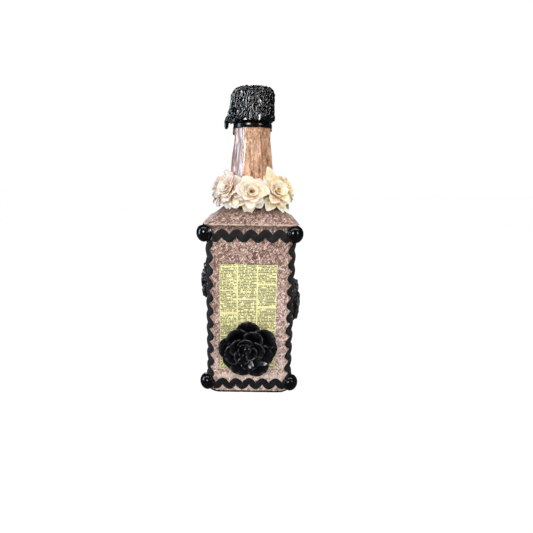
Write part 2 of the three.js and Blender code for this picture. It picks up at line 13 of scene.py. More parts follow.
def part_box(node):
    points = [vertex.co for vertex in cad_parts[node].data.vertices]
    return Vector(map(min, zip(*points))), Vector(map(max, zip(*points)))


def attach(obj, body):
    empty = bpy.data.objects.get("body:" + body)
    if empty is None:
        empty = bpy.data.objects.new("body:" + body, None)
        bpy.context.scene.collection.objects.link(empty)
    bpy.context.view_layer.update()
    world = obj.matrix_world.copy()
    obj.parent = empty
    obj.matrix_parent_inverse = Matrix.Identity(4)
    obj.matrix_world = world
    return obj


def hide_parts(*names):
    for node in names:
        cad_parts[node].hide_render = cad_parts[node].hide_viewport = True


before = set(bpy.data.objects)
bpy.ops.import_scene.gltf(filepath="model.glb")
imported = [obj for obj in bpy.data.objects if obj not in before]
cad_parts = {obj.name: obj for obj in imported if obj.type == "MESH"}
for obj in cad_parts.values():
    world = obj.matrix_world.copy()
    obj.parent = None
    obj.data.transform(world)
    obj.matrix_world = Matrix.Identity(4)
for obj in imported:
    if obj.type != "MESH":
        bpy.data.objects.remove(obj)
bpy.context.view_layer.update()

# Seeds of the tissue's creases, the coat's drips and the cream flowers, each of which adds its number
CREASE_SEED = 7
COAT_SEED = 11
CREAM_SEED = 100
noise.seed_set(CREASE_SEED)

MM = 0.001
QUARTER = math.pi / 2
EIGHTH = math.pi / 4
TURN = 2 * math.pi

# Heights and outlines read from the frame
BODY_FOOT, BODY_TOP = (corner.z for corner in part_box("body_wrap"))
SHOULDER_FOOT, SHOULDER_TOP = (corner.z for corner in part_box("shoulder_wrap"))
RIDGE_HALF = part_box("shoulder_wrap")[1].x
NECK_FOOT, NECK_TOP = (corner.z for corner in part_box("neck_wrap"))
NECK_ROOT_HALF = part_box("neck_wrap")[1].x
PANEL_LOW, PANEL_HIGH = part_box("newsprint_panel")
RING_LOW, RING_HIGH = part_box("tamper_ring")
CAP_LOW, CAP_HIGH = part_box("screw_cap")
COAT_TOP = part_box("cap_drip_coat")[1].z
LINER_LOW, LINER_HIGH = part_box("cap_liner")
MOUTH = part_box("glass_bottle")[1].z

# Sizes repeated from the CAD source, which a box can't give
FIT = 0.3 * MM
PAPER_CORNER = 12.0 * MM
PAPER_OFFSET = 1.2 * MM
PAPER_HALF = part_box("glass_bottle")[1].x + PAPER_OFFSET
RIDGE_CORNER = 8.0 * MM
RIDGE_FLARE = 4.0 * MM
SHOULDER_CURVE = 1.4
NECK_TOP_HALF = 15.7 * MM
NECK_STRAIGHT = 10.4 * MM
GLASS_WALL = 3.2 * MM
GLASS_BASE = 6.0 * MM
HEEL = 2.2 * MM
BORE_RADIUS = 10.5 * MM
FINISH_RADIUS = 13.9 * MM
COLLAR_RADIUS = 15.8 * MM
LIP_ROUND = 0.9 * MM
THREAD_PITCH = 4.0 * MM
THREAD_TURNS = 1.75
THREAD_DROP = 5.0 * MM
CAP_WALL = 1.0 * MM
CAP_ROUND = 5.0 * MM
COAT_SWAY = 1.9 * MM
CORNER_TURN = math.radians(10)
KNOB_RADIUS = 7.6 * MM
SIDE_DEPTH = 0.65
GARLAND_TILT = math.radians(25)


def srgb(red, green, blue):
    """A colour as the screen shows it, 0 to 255, turned into the linear numbers that shaders use."""
    def linear(value):
        share = value / 255
        return share / 12.92 if share <= 0.04045 else ((share + 0.055) / 1.055) ** 2.4
    return (linear(red), linear(green), linear(blue), 1.0)


def lerp(low, high, share):
    return low + (high - low) * share


def clamp(share):
    return min(1.0, max(0.0, share))


def smooth(share):
    share = clamp(share)
    return share * share * (3 - 2 * share)


def shares(count):
    """Evenly spaced numbers from 0 to 1."""
    return [step / count for step in range(count + 1)]


def circle(count):
    """Evenly spaced angles, once round."""
    return [TURN * step / count for step in range(count)]


def around(angle, radius, z):
    """A point at an angle from the front, a distance from the axis and a height."""
    return Vector((radius * math.sin(angle), -radius * math.cos(angle), z))


def rightwards(angle):
    """The level direction to the right, for someone who faces the bottle from an angle."""
    return Vector((math.cos(angle), math.sin(angle), 0.0))


def add_object(name, data):
    made = bpy.data.objects.new(name, data)
    bpy.context.scene.collection.objects.link(made)
    return made


# Materials


def join(value, socket):
    """Links a level or another socket to an input, or sets the input to a plain value."""
    if isinstance(value, Level):
        value = value.socket
    if isinstance(value, bpy.types.NodeSocket):
        socket.id_data.links.new(value, socket)
    else:
        socket.default_value = value


def add_node(tree, kind, inputs=None, **properties):
    """A new shader node with its properties set and its inputs joined."""
    made = tree.nodes.new("ShaderNode" + kind)
    for name, value in properties.items():
        setattr(made, name, value)
    for name, value in (inputs or {}).items():
        join(value, made.inputs[name])
    return made


class Level:
    """A number in a shader. Its sums, products, ranges and colours are nodes that work them out."""

    def __init__(self, socket):
        self.socket = socket

    def node(self, kind, inputs, **properties):
        return add_node(self.socket.id_data, kind, inputs, **properties)

    def math(self, operation, other=0.0, clamped=False):
        inputs = {0: self, 1: other}
        return Level(self.node("Math", inputs, operation=operation, use_clamp=clamped).outputs[0])

    def __add__(self, other):
        return self.math("ADD", other)

    def __sub__(self, other):
        return self.math("SUBTRACT", other)

    def __mul__(self, other):
        return self.math("MULTIPLY", other)

    def __truediv__(self, other):
        return self.math("DIVIDE", other)

    def __gt__(self, other):
        return self.math("GREATER_THAN", other)

    def __abs__(self):
        return self.math("ABSOLUTE")

    def span(self, low, high, to_low=0.0, to_high=1.0):
        """The number stretched from one range to another and kept inside it."""
        ends = {"Value": self, "From Min": low, "From Max": high, "To Min": to_low, "To Max": to_high}
        return Level(self.node("MapRange", ends).outputs["Result"])

    def ramp(self, *stops):
        """A colour for the number, from stops of (position, red, green, blue)."""
        made = self.node("ValToRGB", {"Fac": self})
        elements = made.color_ramp.elements
        while len(elements) < len(stops):
            elements.new(1.0)
        for element, (position, *colour) in zip(elements, stops):
            element.position = position
            element.color = srgb(*colour)
        return made.outputs["Color"]

    def mix(self, low, high):
        """A colour between two others: the first where the number is 0, the second where it is 1."""
        return self.node("Mix", {0: self, 6: low, 7: high}, data_type="RGBA").outputs[2]


class Paint:
    """A material with one Principled shader, and short ways to add the nodes that feed it."""

    def __init__(self, name, settings):
        self.material = bpy.data.materials.new(name)
        self.material.use_nodes = True
        self.tree = self.material.node_tree
        for socket, value in settings.items():
            self.feed(socket, value)

    def node(self, kind, inputs=None, **properties):
        return add_node(self.tree, kind, inputs, **properties)

    def feed(self, socket, value):
        join(value, self.tree.nodes["Principled BSDF"].inputs[socket])

    def place(self, stretch=(1, 1, 1), turn=(0, 0, 0)):
        where = self.node("TexCoord").outputs["Object"]
        turned = self.node("Mapping", {"Vector": where, "Rotation": turn}).outputs["Vector"]
        return self.node("Mapping", {"Vector": turned, "Scale": stretch}).outputs["Vector"]

    def axes(self):
        return [Level(part) for part in self.node("SeparateXYZ", {"Vector": self.place()}).outputs]

    def noise(self, size, stretch=(1, 1, 1), detail=4.0, rough=0.55, warp=0.0, turn=(0, 0, 0)):
        settings = {"Vector": self.place(stretch, turn), "Scale": 1 / size, "Detail": detail,
                    "Roughness": rough, "Distortion": warp}
        return Level(self.node("TexNoise", settings).outputs["Fac"])

    def attribute(self, name):
        return Level(self.node("Attribute", attribute_name=name).outputs["Fac"])

    def bump(self, height, strength, depth):
        made = self.node("Bump", {"Height": height, "Strength": strength, "Distance": depth})
        self.feed("Normal", made.outputs["Normal"])


FIBRE_SLANT = math.radians(38)
FOOT_LINE = (2.6 * MM, 3.2 * MM)


def tissue_paint():
    """Crumpled tissue: pale fibres crossing over dusty brown. It is paler towards the foot, where painted
    light stands in for light bounced up from the floor, and paler towards the right; it takes painted shade
    and painted highlights from its pieces, and is near black along the very foot."""
    paint = Paint("tissue", {"Specular IOR Level": 0.25})

    def fibres(slant):
        return paint.noise(1.0 * MM, (1, 1, 0.3), detail=2.0, rough=0.6, turn=(0.0, slant, 0.0))

    crossed = fibres(FIBRE_SLANT).math("MINIMUM", fibres(-FIBRE_SLANT))
    grain = paint.noise(0.7 * MM, detail=2.0, rough=0.5)
    relief = crossed * 0.6 + paint.attribute("ridge") * 0.16 + grain * 0.35
    upper = relief.ramp((0.46, 92, 65, 53), (0.56, 158, 128, 115), (0.66, 244, 218, 205))
    lower = relief.ramp((0.46, 146, 115, 104), (0.56, 214, 185, 174), (0.66, 255, 242, 234))
    x, _, z = paint.axes()
    # painted light: paler towards the foot, standing in for light bounced up from the floor; also paler
    # towards the right
    drift = z - x * 0.8 + paint.noise(22 * MM) * (30 * MM)
    tone = drift.span(40 * MM, 135 * MM).mix(lower, upper)
    # painted shade: darker brown under the ridge, along the foot and up the shoulder under the garland
    tone = (paint.attribute("stain") * 0.65).mix(tone, srgb(70, 50, 40))
    broken = paint.noise(3 * MM, detail=2.0).span(0.35, 0.6, 0.25, 1.0)
    # painted highlight: pale along the ridge and in a band across the front above the foot's braid
    tone = (paint.attribute("lip") * broken).mix(tone, srgb(226, 206, 190))
    # near black along the very foot, up to about 3 mm
    line = (z + paint.noise(2.5 * MM) * (1.6 * MM)).span(*FOOT_LINE, 1.0, 0.0)
    paint.feed("Base Color", line.mix(tone, srgb(12, 11, 11)))
    paint.feed("Roughness", grain.span(0.3, 0.7, 0.5, 0.8))
    paint.bump(relief, 0.6, 0.4 * MM)
    return paint.material


def neck_paint():
    """Tan paper under thick varnish, streaked up and down and mottled, with painted shade darkening its left
    side.
    """
    paint = Paint("neck_paper", {"Coat Weight": 1.0, "Coat Roughness": 0.12, "Specular IOR Level": 0.3})
    streak = paint.noise(2.2 * MM, (1, 1, 0.14), detail=5.0, rough=0.6)
    off_fibre = abs(paint.noise(2.6 * MM, (1, 1, 0.35), detail=3.0, warp=0.5) - 0.5)
    fibre = off_fibre.span(0.0, 0.25, 1.0, 0.0)
    blotch = paint.noise(9 * MM, (1, 1, 0.5), detail=3.0)
    speck = paint.noise(0.9 * MM, (1, 1, 0.6), detail=3.0)
    depth = streak * 0.5 + fibre * 0.25 + speck * 0.35
    tone = depth.ramp((0.45, 88, 50, 27), (0.58, 170, 123, 90), (0.71, 230, 186, 152))
    aged = blotch.span(0.48, 0.7, 0.0, 0.5).mix(tone, srgb(138, 94, 64))
    # painted shade: darker brown towards the left side of the neck
    painted_left_shade = paint.axes()[0].span(-NECK_TOP_HALF, -NECK_TOP_HALF / 2, 0.4, 0.0)
    paint.feed("Base Color", painted_left_shade.mix(aged, srgb(122, 88, 66)))
    paint.feed("Roughness", streak.span(0.3, 0.7, 0.3, 0.5))
    paint.bump(depth, 0.5, 0.4 * MM)
    return paint.material


LINE_PITCH = 1.35 * MM
INK_HALF_LINE = 0.33
LETTER_WIDTH = 0.6 * MM
LETTER_GAPS = 0.22
WORD_WIDTH = 3.0 * MM
WORD_GAPS = 0.06
COLUMN_EDGES = (0.0, 0.31, 0.66, 1.0)
GUTTER = 1.2 * MM
PARAGRAPH = 21 * MM
PARAGRAPH_STAGGER = 0.37
PARAGRAPH_GAP = 0.1


def newsprint_paint():
    """Yellowed paper with columns of grey strokes that spell nothing."""
    paint = Paint("newsprint", {"Roughness": 0.62, "Specular IOR Level": 0.3})
    x, _, z = paint.axes()
    across = x - PANEL_LOW.x

    def random_cell(first, second):
        cell = paint.node("CombineXYZ", {"X": first.math("FLOOR"), "Y": second.math("FLOOR")})
        settings = {"Vector": cell.outputs["Vector"]}
        return Level(paint.node("TexWhiteNoise", settings, noise_dimensions="2D").outputs["Value"])

    line = z / LINE_PITCH
    in_line = abs(line.math("FRACT") - 0.5).math("LESS_THAN", INK_HALF_LINE)
    letter = random_cell(across / LETTER_WIDTH, line) > LETTER_GAPS
    word = random_cell(across / WORD_WIDTH, line) > WORD_GAPS
    ink = in_line * (letter * word)
    column = 0.0
    for share in COLUMN_EDGES:
        edge = share * (PANEL_HIGH.x - PANEL_LOW.x)
        ink = ink * (abs(across - edge) > GUTTER / 2)
        column = (across > edge) + column
    block = z / PARAGRAPH + column * PARAGRAPH_STAGGER
    ink = ink * (block.math("FRACT") > random_cell(block, column) * PARAGRAPH_GAP)
    paper = paint.noise(14 * MM).ramp((0.3, 236, 230, 162), (0.7, 250, 245, 188))
    worn = paint.noise(2.5 * MM).span(0.3, 0.7, 0.75, 1.0)
    paint.feed("Base Color", (ink * worn).mix(paper, srgb(88, 82, 66)))
    paint.bump(paint.noise(1.2 * MM, detail=6.0), 0.25, 0.15 * MM)
    return paint.material


def gloss_paint(name, roughness, brushed=0.0):
    """Gloss black paint. Where it was brushed on, by a depth, it is uneven, and a painted highlight in grey
    runs along its edges.
    """
    paint = Paint(name, {"Specular IOR Level": 0.3})
    smear = paint.noise(4 * MM, detail=4.0)
    colour = smear.ramp((0.35, 4, 4, 6), (0.7, 12, 12, 14))
    if brushed:
        # painted highlight: grey along the edges of petals, buds and the knobs' bead crests
        rim = paint.attribute("edge") * paint.noise(3 * MM).span(0.4, 0.65)
        colour = (rim * 0.42).mix(colour, srgb(116, 116, 122))
        paint.bump(paint.noise(2.6 * MM, detail=3.0), 0.2, brushed)
    paint.feed("Base Color", colour)
    paint.feed("Roughness", smear.span(0.3, 0.7, roughness * 0.7, roughness * 1.4))
    return paint.material


def drip_paint():
    """Hardened black drips: deep black with small wavering ridges that glint."""
    paint = Paint("drip_coat", {"Specular IOR Level": 0.5})
    squiggle = paint.noise(2.2 * MM, (1, 1, 0.25), detail=1.0, rough=0.4, warp=0.6)
    paint.feed("Base Color", squiggle.ramp((0.3, 2, 2, 4), (0.7, 10, 10, 12)))
    paint.feed("Roughness", squiggle.span(0.3, 0.7, 0.05, 0.1))
    paint.bump(squiggle, 0.06, 0.6 * MM)
    return paint.material


CORD_WIDTH = 0.9 * MM


def braid_paint():
    """Matte black braid: fine cords crossing on the slant, dusty in patches."""
    paint = Paint("braid", {"Specular IOR Level": 0.25, "Sheen Weight": 0.06, "Sheen Roughness": 0.4})
    along = paint.attribute("along")
    across = paint.attribute("across")

    def cords(level):
        return abs((level * (math.pi / CORD_WIDTH)).math("SINE"))

    weave = cords(along + across).math("MINIMUM", cords(along - across))
    dust = paint.noise(5 * MM, detail=5.0).span(0.48, 0.75)
    black = weave.ramp((0.05, 5, 5, 6), (0.7, 22, 21, 23))
    paint.feed("Base Color", (dust * 0.22).mix(black, srgb(74, 73, 74)))
    paint.feed("Roughness", weave.span(0.0, 1.0, 0.85, 0.6))
    paint.bump(weave, 0.8, 0.3 * MM)
    return paint.material


def petal_paint():
    """Soft paper petals, white at their tips, with gold or rose shading towards their hearts."""
    paint = Paint("cream_petal", {"Roughness": 0.55, "Specular IOR Level": 0.25, "Subsurface Weight": 0.4,
                                  "Subsurface Radius": (1.0, 0.6, 0.35), "Subsurface Scale": 4 * MM})
    vein = paint.noise(2.4 * MM, detail=4.0)
    shade = paint.attribute("blush").math("ADD", (vein - 0.5) * 0.9, clamped=True)
    gold = shade.ramp((0.1, 252, 243, 218), (0.42, 250, 226, 172), (0.85, 234, 182, 108))
    rose = shade.ramp((0.1, 254, 244, 236), (0.42, 252, 228, 210), (0.85, 240, 192, 162))
    paint.feed("Base Color", paint.attribute("tint").mix(gold, rose))
    paint.bump(vein, 0.3, 0.25 * MM)
    return paint.material


def heart_paint():
    """Golden brown rolled paper, with painted shade darkening it down in its folds."""
    paint = Paint("gold_heart", {"Roughness": 0.5, "Specular IOR Level": 0.35})
    grain = paint.noise(1.4 * MM, detail=5.0)
    # painted shade: near black deep in the roll
    fold_shade = paint.attribute("blush").math("ADD", (grain - 0.5) * 0.4, clamped=True)
    deep = fold_shade.ramp((0.05, 240, 206, 138), (0.32, 208, 158, 86), (0.58, 122, 74, 32), (0.88, 14, 8, 6))
    paint.feed("Base Color", paint.attribute("edge").mix(deep, srgb(150, 104, 58)))
    paint.bump(grain, 0.3, 0.2 * MM)
    return paint.material


def glass_paint():
    """Clear moulded glass with faint ripples."""
    paint = Paint("glass", {"IOR": 1.5, "Roughness": 0.03, "Transmission Weight": 1.0})
    paint.feed("Base Color", paint.noise(30 * MM).ramp((0.3, 226, 236, 230), (0.7, 238, 243, 239)))
    paint.bump(paint.noise(12 * MM, detail=2.0), 0.15, 0.3 * MM)
    return paint.material


PORE_SIZE = 0.6 * MM


def liner_paint():
    """White foam wad with fine pores."""
    paint = Paint("liner", {"Roughness": 0.8})
    cells = paint.node("TexVoronoi", {"Vector": paint.place(), "Scale": 1 / PORE_SIZE})
    pores = Level(cells.outputs["Distance"])
    paint.feed("Base Color", pores.ramp((0.2, 206, 202, 192), (0.7, 234, 231, 224)))
    paint.bump(pores, 0.3, 0.15 * MM)
    return paint.material


# Mesh building


class Skin:
    """Collects grids of points into one mesh, with numbers for the shader at each point."""

    def __init__(self):
        self.points = []
        self.faces = []
        self.values = {}

    def add(self, rows, closed=False, solid=False, **values):
        """Adds a grid of points. A closed grid joins its last column to its first, and a solid one is closed
        with its first and last rows filled. Each value is a grid of numbers like the points."""
        first = len(self.points)
        columns = len(rows[0])
        last = first + columns * (len(rows) - 1)
        for row in rows:
            self.points.extend(row)
        for name, grid in values.items():
            held = self.values.setdefault(name, [])
            held.extend([0.0] * (first - len(held)))
            for row in grid:
                held.extend(row)
        for near in range(first, last, columns):
            far = near + columns
            for c in range(columns if closed or solid else columns - 1):
                after = (c + 1) % columns
                self.faces.append((near + c, near + after, far + after, far + c))
        if solid:
            self.faces.append(tuple(range(first + columns - 1, first - 1, -1)))
            self.faces.append(tuple(range(last, last + columns)))

    def lay(self, rows, columns, make, closed=False, solid=False):
        """Adds the grid that a function of (row, column) makes: each time a point and its numbers by name."""
        made = [[make(row, column) for column in columns] for row in rows]
        names = made[0][0][1]
        values = {name: [[numbers[name] for _, numbers in row] for row in made] for name in names}
        self.add([[point for point, _ in row] for row in made], closed, solid, **values)

    def piece(self, name, material):
        """The collected mesh as an object."""
        mesh = bpy.data.meshes.new(name)
        mesh.from_pydata([tuple(point) for point in self.points], [], self.faces)
        for key, numbers in self.values.items():
            held = mesh.attributes.new(key, "FLOAT", "POINT")
            held.data.foreach_set("value", numbers + [0.0] * (len(self.points) - len(numbers)))
        mesh.materials.append(material)
        mesh.shade_smooth()
        return add_object(name, mesh)

    def ride(self, name, material, slot, node=None, body="bottle"):
        """The mesh as a piece that rides on a body, in the place of a CAD node where one is named."""
        piece = self.piece(name, material)
        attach(piece, body)
        if node:
            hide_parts(node)
        return piece


def thicken(piece, thickness, offset=-1):
    """Gives a sheet its thickness, inwards, or to both sides where the offset is 0."""
    shell = piece.modifiers.new("thickness", "SOLIDIFY")
    shell.thickness = thickness
    shell.offset = offset


def lathe(profile, segments):
    """Rows of points for a profile of (radius, height) pairs turned about the bottle's axis."""
    return [[around(angle, radius, z) for angle in circle(segments)] for radius, z in profile]


def tube(path, radii, sides):
    """Rows of points for a round tube along a path, with a radius at each of its points."""
    rows = []
    side = Vector((0.0, 0.0, 1.0))
    for i, point in enumerate(path):
        ahead = (path[min(i + 1, len(path) - 1)] - path[max(i - 1, 0)]).normalized()
        side = side - ahead * side.dot(ahead)
        if side.length < 1e-6:
            side = ahead.orthogonal()
        side.normalize()
        other = ahead.cross(side)
        rows.append([point + radii[i] * (math.cos(turn) * side + math.sin(turn) * other)
                     for turn in circle(sides)])
    return rows


# Sections of the bottle


def rounded_square(angle, half, corner):
    """How far a square with round corners reaches from the axis in a direction."""
    turn = angle % QUARTER
    turn = min(turn, QUARTER - turn)
    flat = half - corner
    if math.tan(turn) <= flat / half:
        return half / math.cos(turn)
    slant = flat * (math.cos(turn) + math.sin(turn))
    return slant + math.sqrt(slant * slant - 2 * flat * flat + corner * corner)


FACET_SHARPNESS = 46


def soft_octagon(angle, half):
    """How far an eight-sided section with softened edges reaches from the axis in a direction."""
    total = 0.0
    for facet in range(8):
        total += max(0.0, math.cos(angle - facet * EIGHTH)) ** FACET_SHARPNESS
    return half * total ** (-1 / FACET_SHARPNESS)


def neck_half(z):
    """Half the width of the papered neck between facets: upright at the top, swelling to its root."""
    bulge_top = NECK_TOP + FIT - NECK_STRAIGHT
    down = clamp((bulge_top - z) / (bulge_top - NECK_FOOT))
    return lerp(NECK_TOP_HALF, NECK_ROOT_HALF, 1 - (1 - down) ** 2)


def shoulder_reach(angle, climb, inset=0.0):
    """How far the shoulder reaches at a share of its climb from the body to the neck."""
    share = 1 - (1 - climb) ** SHOULDER_CURVE
    square = rounded_square(angle, PAPER_HALF - inset, PAPER_CORNER - inset)
    return lerp(square, soft_octagon(angle, NECK_ROOT_HALF - inset), share)


# Paper

CREASE_SIZE = 3.0 * MM
CREASE_DEPTH = 0.4 * MM
CREASE_BEND = 0.8
CREASE_BEND_SCALE = 0.6
# Smoothness, step between layers, number of layers, offset and gain of the creases, and the range they give
CREASE_LAYERS = (0.9, 2.2, 4, 1.0, 1.8)
CREASE_LOW, CREASE_RANGE = 0.3, 1.3
CREASE_LEVEL = 0.75
TISSUE_THICK = 0.35 * MM


def crumple(piece):
    """Pushes a mesh in along its creases and out along its ridges, and keeps the height for the shader."""
    mesh = piece.data
    held = mesh.attributes.new("ridge", "FLOAT", "POINT")
    normals = [vertex.normal.copy() for vertex in mesh.vertices]
    for vertex, normal in zip(mesh.vertices, normals):
        place = vertex.co / CREASE_SIZE
        bent = place + CREASE_BEND * noise.noise_vector(place * CREASE_BEND_SCALE)
        ridges = noise.ridged_multi_fractal(bent, *CREASE_LAYERS)
        height = clamp((ridges - CREASE_LOW) / CREASE_RANGE)
        held.data[vertex.index].value = height
        vertex.co += normal * (height - CREASE_LEVEL) * CREASE_DEPTH


def as_tissue(skin, name, material, node):
    piece = skin.ride(name, material, "tissue", node)
    crumple(piece)
    thicken(piece, TISSUE_THICK)


def steps_between(low, high, step, extra=()):
    """Evenly spaced numbers from low to high, with the extra ones in place of their neighbours."""
    count = max(1, round((high - low) / step))
    even = [lerp(low, high, share) for share in shares(count)]
    clear = [n for n in even if all(abs(n - mark) > step / 2 for mark in extra)]
    return sorted(clear + list(extra))


BODY_STEP = 0.85 * MM
TORN_EDGE = 0.5 * MM
TORN_SIZE = 4.0 * MM
RIDGE_TUCK = 0.3 * MM
RIDGE_LIGHT = 1.0 * MM
PAINTED_SHADE_HEIGHT = 8.0 * MM
FOLD_Z = 17.0 * MM
FOLD_WIDTH = 3.4 * MM
FOLD_WANDER = 9.0 * MM


def fold_light(point):
    """How much painted light a point of the body gets in the pale band that crosses the front above the
    foot's braid.
    """
    if point.y > -PAPER_HALF * 0.9:
        return 0.0
    wander = noise.noise(Vector((point.x, 0.0, 0.0)) / FOLD_WANDER) * FOLD_WIDTH / 2
    return 0.8 * smooth(1 - abs(point.z - FOLD_Z - wander) / FOLD_WIDTH)


def body_reach(angle, z):
    """How far the papered body reaches: straight, then flaring to the ridge under the shoulder."""
    flare = clamp(1 - (BODY_TOP - z) / (RIDGE_FLARE - FIT))
    half = lerp(PAPER_HALF, RIDGE_HALF - RIDGE_TUCK, flare ** 1.5)
    return rounded_square(angle, half, lerp(PAPER_CORNER, RIDGE_CORNER, flare))


def over_panel(points, face):
    middle = sum((points[i] for i in face), Vector()) / len(face)
    inside_x = PANEL_LOW.x < middle.x < PANEL_HIGH.x
    inside_z = PANEL_LOW.z < middle.z < PANEL_HIGH.z
    return middle.y < 0 and inside_x and inside_z


def torn(point):
    """A point of the tissue near the panel's edge, moved in its plane as a torn edge wanders."""
    on_front = point.y < -PAPER_HALF + TORN_EDGE
    near_x = min(abs(point.x - PANEL_LOW.x), abs(point.x - PANEL_HIGH.x)) < TORN_EDGE
    near_z = min(abs(point.z - PANEL_LOW.z), abs(point.z - PANEL_HIGH.z)) < TORN_EDGE
    if not on_front or not (near_x or near_z):
        return point
    wander = noise.noise_vector(point / TORN_SIZE) * TORN_EDGE
    return point + Vector((wander.x, 0.0, wander.z))


def body_wrap(material):
    """Tissue round the body, from the foot to the ridge under the shoulder, torn away round the panel."""
    sides = [math.atan2(x, PAPER_HALF) for x in (PANEL_LOW.x, PANEL_HIGH.x)]
    angles = steps_between(-math.pi, math.pi, BODY_STEP / PAPER_HALF * 0.8, sides)[:-1]
    heights = steps_between(BODY_FOOT, BODY_TOP, BODY_STEP, (PANEL_LOW.z, PANEL_HIGH.z))

    def at(z, angle):
        point = around(angle, body_reach(angle, z), z)
        # painted highlight: lip pales the tissue along the ridge and in the band above the foot
        ridge = smooth(1 - (BODY_TOP - z) / RIDGE_LIGHT)
        # painted shade under the ridge and along the foot
        stain = max(smooth((z - BODY_TOP) / PAINTED_SHADE_HEIGHT + 1), 0.6 * smooth(1 - z / PAINTED_SHADE_HEIGHT))
        return point, dict(lip=max(0.6 * ridge, fold_light(point)), stain=stain)

    skin = Skin()
    skin.lay(heights, angles, at, closed=True)
    skin.faces = [face for face in skin.faces if not over_panel(skin.points, face)]
    skin.points = [torn(point) for point in skin.points]
    as_tissue(skin, "body_tissue", material, "body_wrap")


SHOULDER_COLUMNS = 360
SHOULDER_ROWS = 36
SHOULDER_BULGE = 0.6
UNDER_GARLAND = 0.2


def tissue_reach(angle, climb):
    """How far the shoulder's tissue reaches: the shoulder, and near its foot a swell out to the ridge."""
    swell = rounded_square(angle, RIDGE_HALF - RIDGE_TUCK / 2, RIDGE_CORNER) - shoulder_reach(angle, 0.0)
    return shoulder_reach(angle, climb) + swell * max(0.0, 1 - climb / SHOULDER_BULGE)


def shoulder_wrap(material):
    """Tissue up the shoulder, with its lower edge tucked under at the ridge, where a painted highlight pales
    it, and painted shade darkening it towards the garland.
    """
    tuck = BODY_TOP - RIDGE_TUCK

    def at(climb, angle):
        if climb is None:
            # painted highlight on the tucked edge at the ridge
            return around(angle, body_reach(angle, tuck) - 2 * RIDGE_TUCK, tuck), dict(lip=0.8, stain=0.0)
        z = lerp(SHOULDER_FOOT, SHOULDER_TOP, climb)
        # painted highlight along the ridge
        lip = 0.85 * smooth(1 - (z - SHOULDER_FOOT) / RIDGE_LIGHT)
        # painted shade up the shoulder, under the garland
        stain = smooth((climb - UNDER_GARLAND) * 3)
        return around(angle, tissue_reach(angle, climb), z), dict(lip=lip, stain=stain)

    skin = Skin()
    skin.lay([None] + shares(SHOULDER_ROWS), circle(SHOULDER_COLUMNS), at, closed=True)
    as_tissue(skin, "shoulder_tissue", material, "shoulder_wrap")


NECK_COLUMNS = 240
NECK_ROWS = 60
NECK_PAPER_THICK = 0.6 * MM
WRINKLE_SIZE = 3.5 * MM
WRINKLE_STRETCH = 0.2
WRINKLE_SINK = 0.15 * MM
WRINKLE_DEPTH = 0.12 * MM


def neck_wrap(material):
    """Varnished paper round the eight-sided neck, with shallow upright wrinkles."""
    def at(share, angle):
        z = lerp(NECK_FOOT, NECK_TOP, share)
        reach = soft_octagon(angle, neck_half(z))
        point = around(angle, reach, z)
        point.z *= WRINKLE_STRETCH
        wrinkle = noise.fractal(point / WRINKLE_SIZE, 0.8, 2.0, 3)
        return around(angle, reach - WRINKLE_SINK + WRINKLE_DEPTH * wrinkle, z), {}

    skin = Skin()
    skin.lay(shares(NECK_ROWS), circle(NECK_COLUMNS), at, closed=True)
    thicken(skin.ride("neck_paper", material, "neck_paper", "neck_wrap"), NECK_PAPER_THICK)


PANEL_STEP = 1.2 * MM
PANEL_TUCK = 0.8 * MM
PANEL_THICK = 0.25 * MM
COCKLE_SIZE = 11 * MM
COCKLE_DEPTH = 0.1 * MM


def newsprint_panel(material):
    """The printed sheet, a little larger than its window, cockled by its glue."""
    columns = steps_between(PANEL_LOW.x - PANEL_TUCK, PANEL_HIGH.x + PANEL_TUCK, PANEL_STEP)
    heights = steps_between(PANEL_LOW.z - PANEL_TUCK, PANEL_HIGH.z + PANEL_TUCK, PANEL_STEP)

    def at(z, x):
        cockle = noise.fractal(Vector((x, 0.0, z)) / COCKLE_SIZE, 0.9, 2.0, 3)
        return Vector((x, PANEL_LOW.y + COCKLE_DEPTH - COCKLE_DEPTH * cockle, z)), {}

    skin = Skin()
    skin.lay(heights, columns, at)
    thicken(skin.ride("printed_sheet", material, "newsprint", "newsprint_panel"), PANEL_THICK)


# Glass

GLASS_COLUMNS = 144
HEEL_FLAT = 0.2 * MM
THREAD_RADIUS = 1.0 * MM
THREAD_SUNK = 0.2 * MM
THREAD_TIP = 0.05 * MM


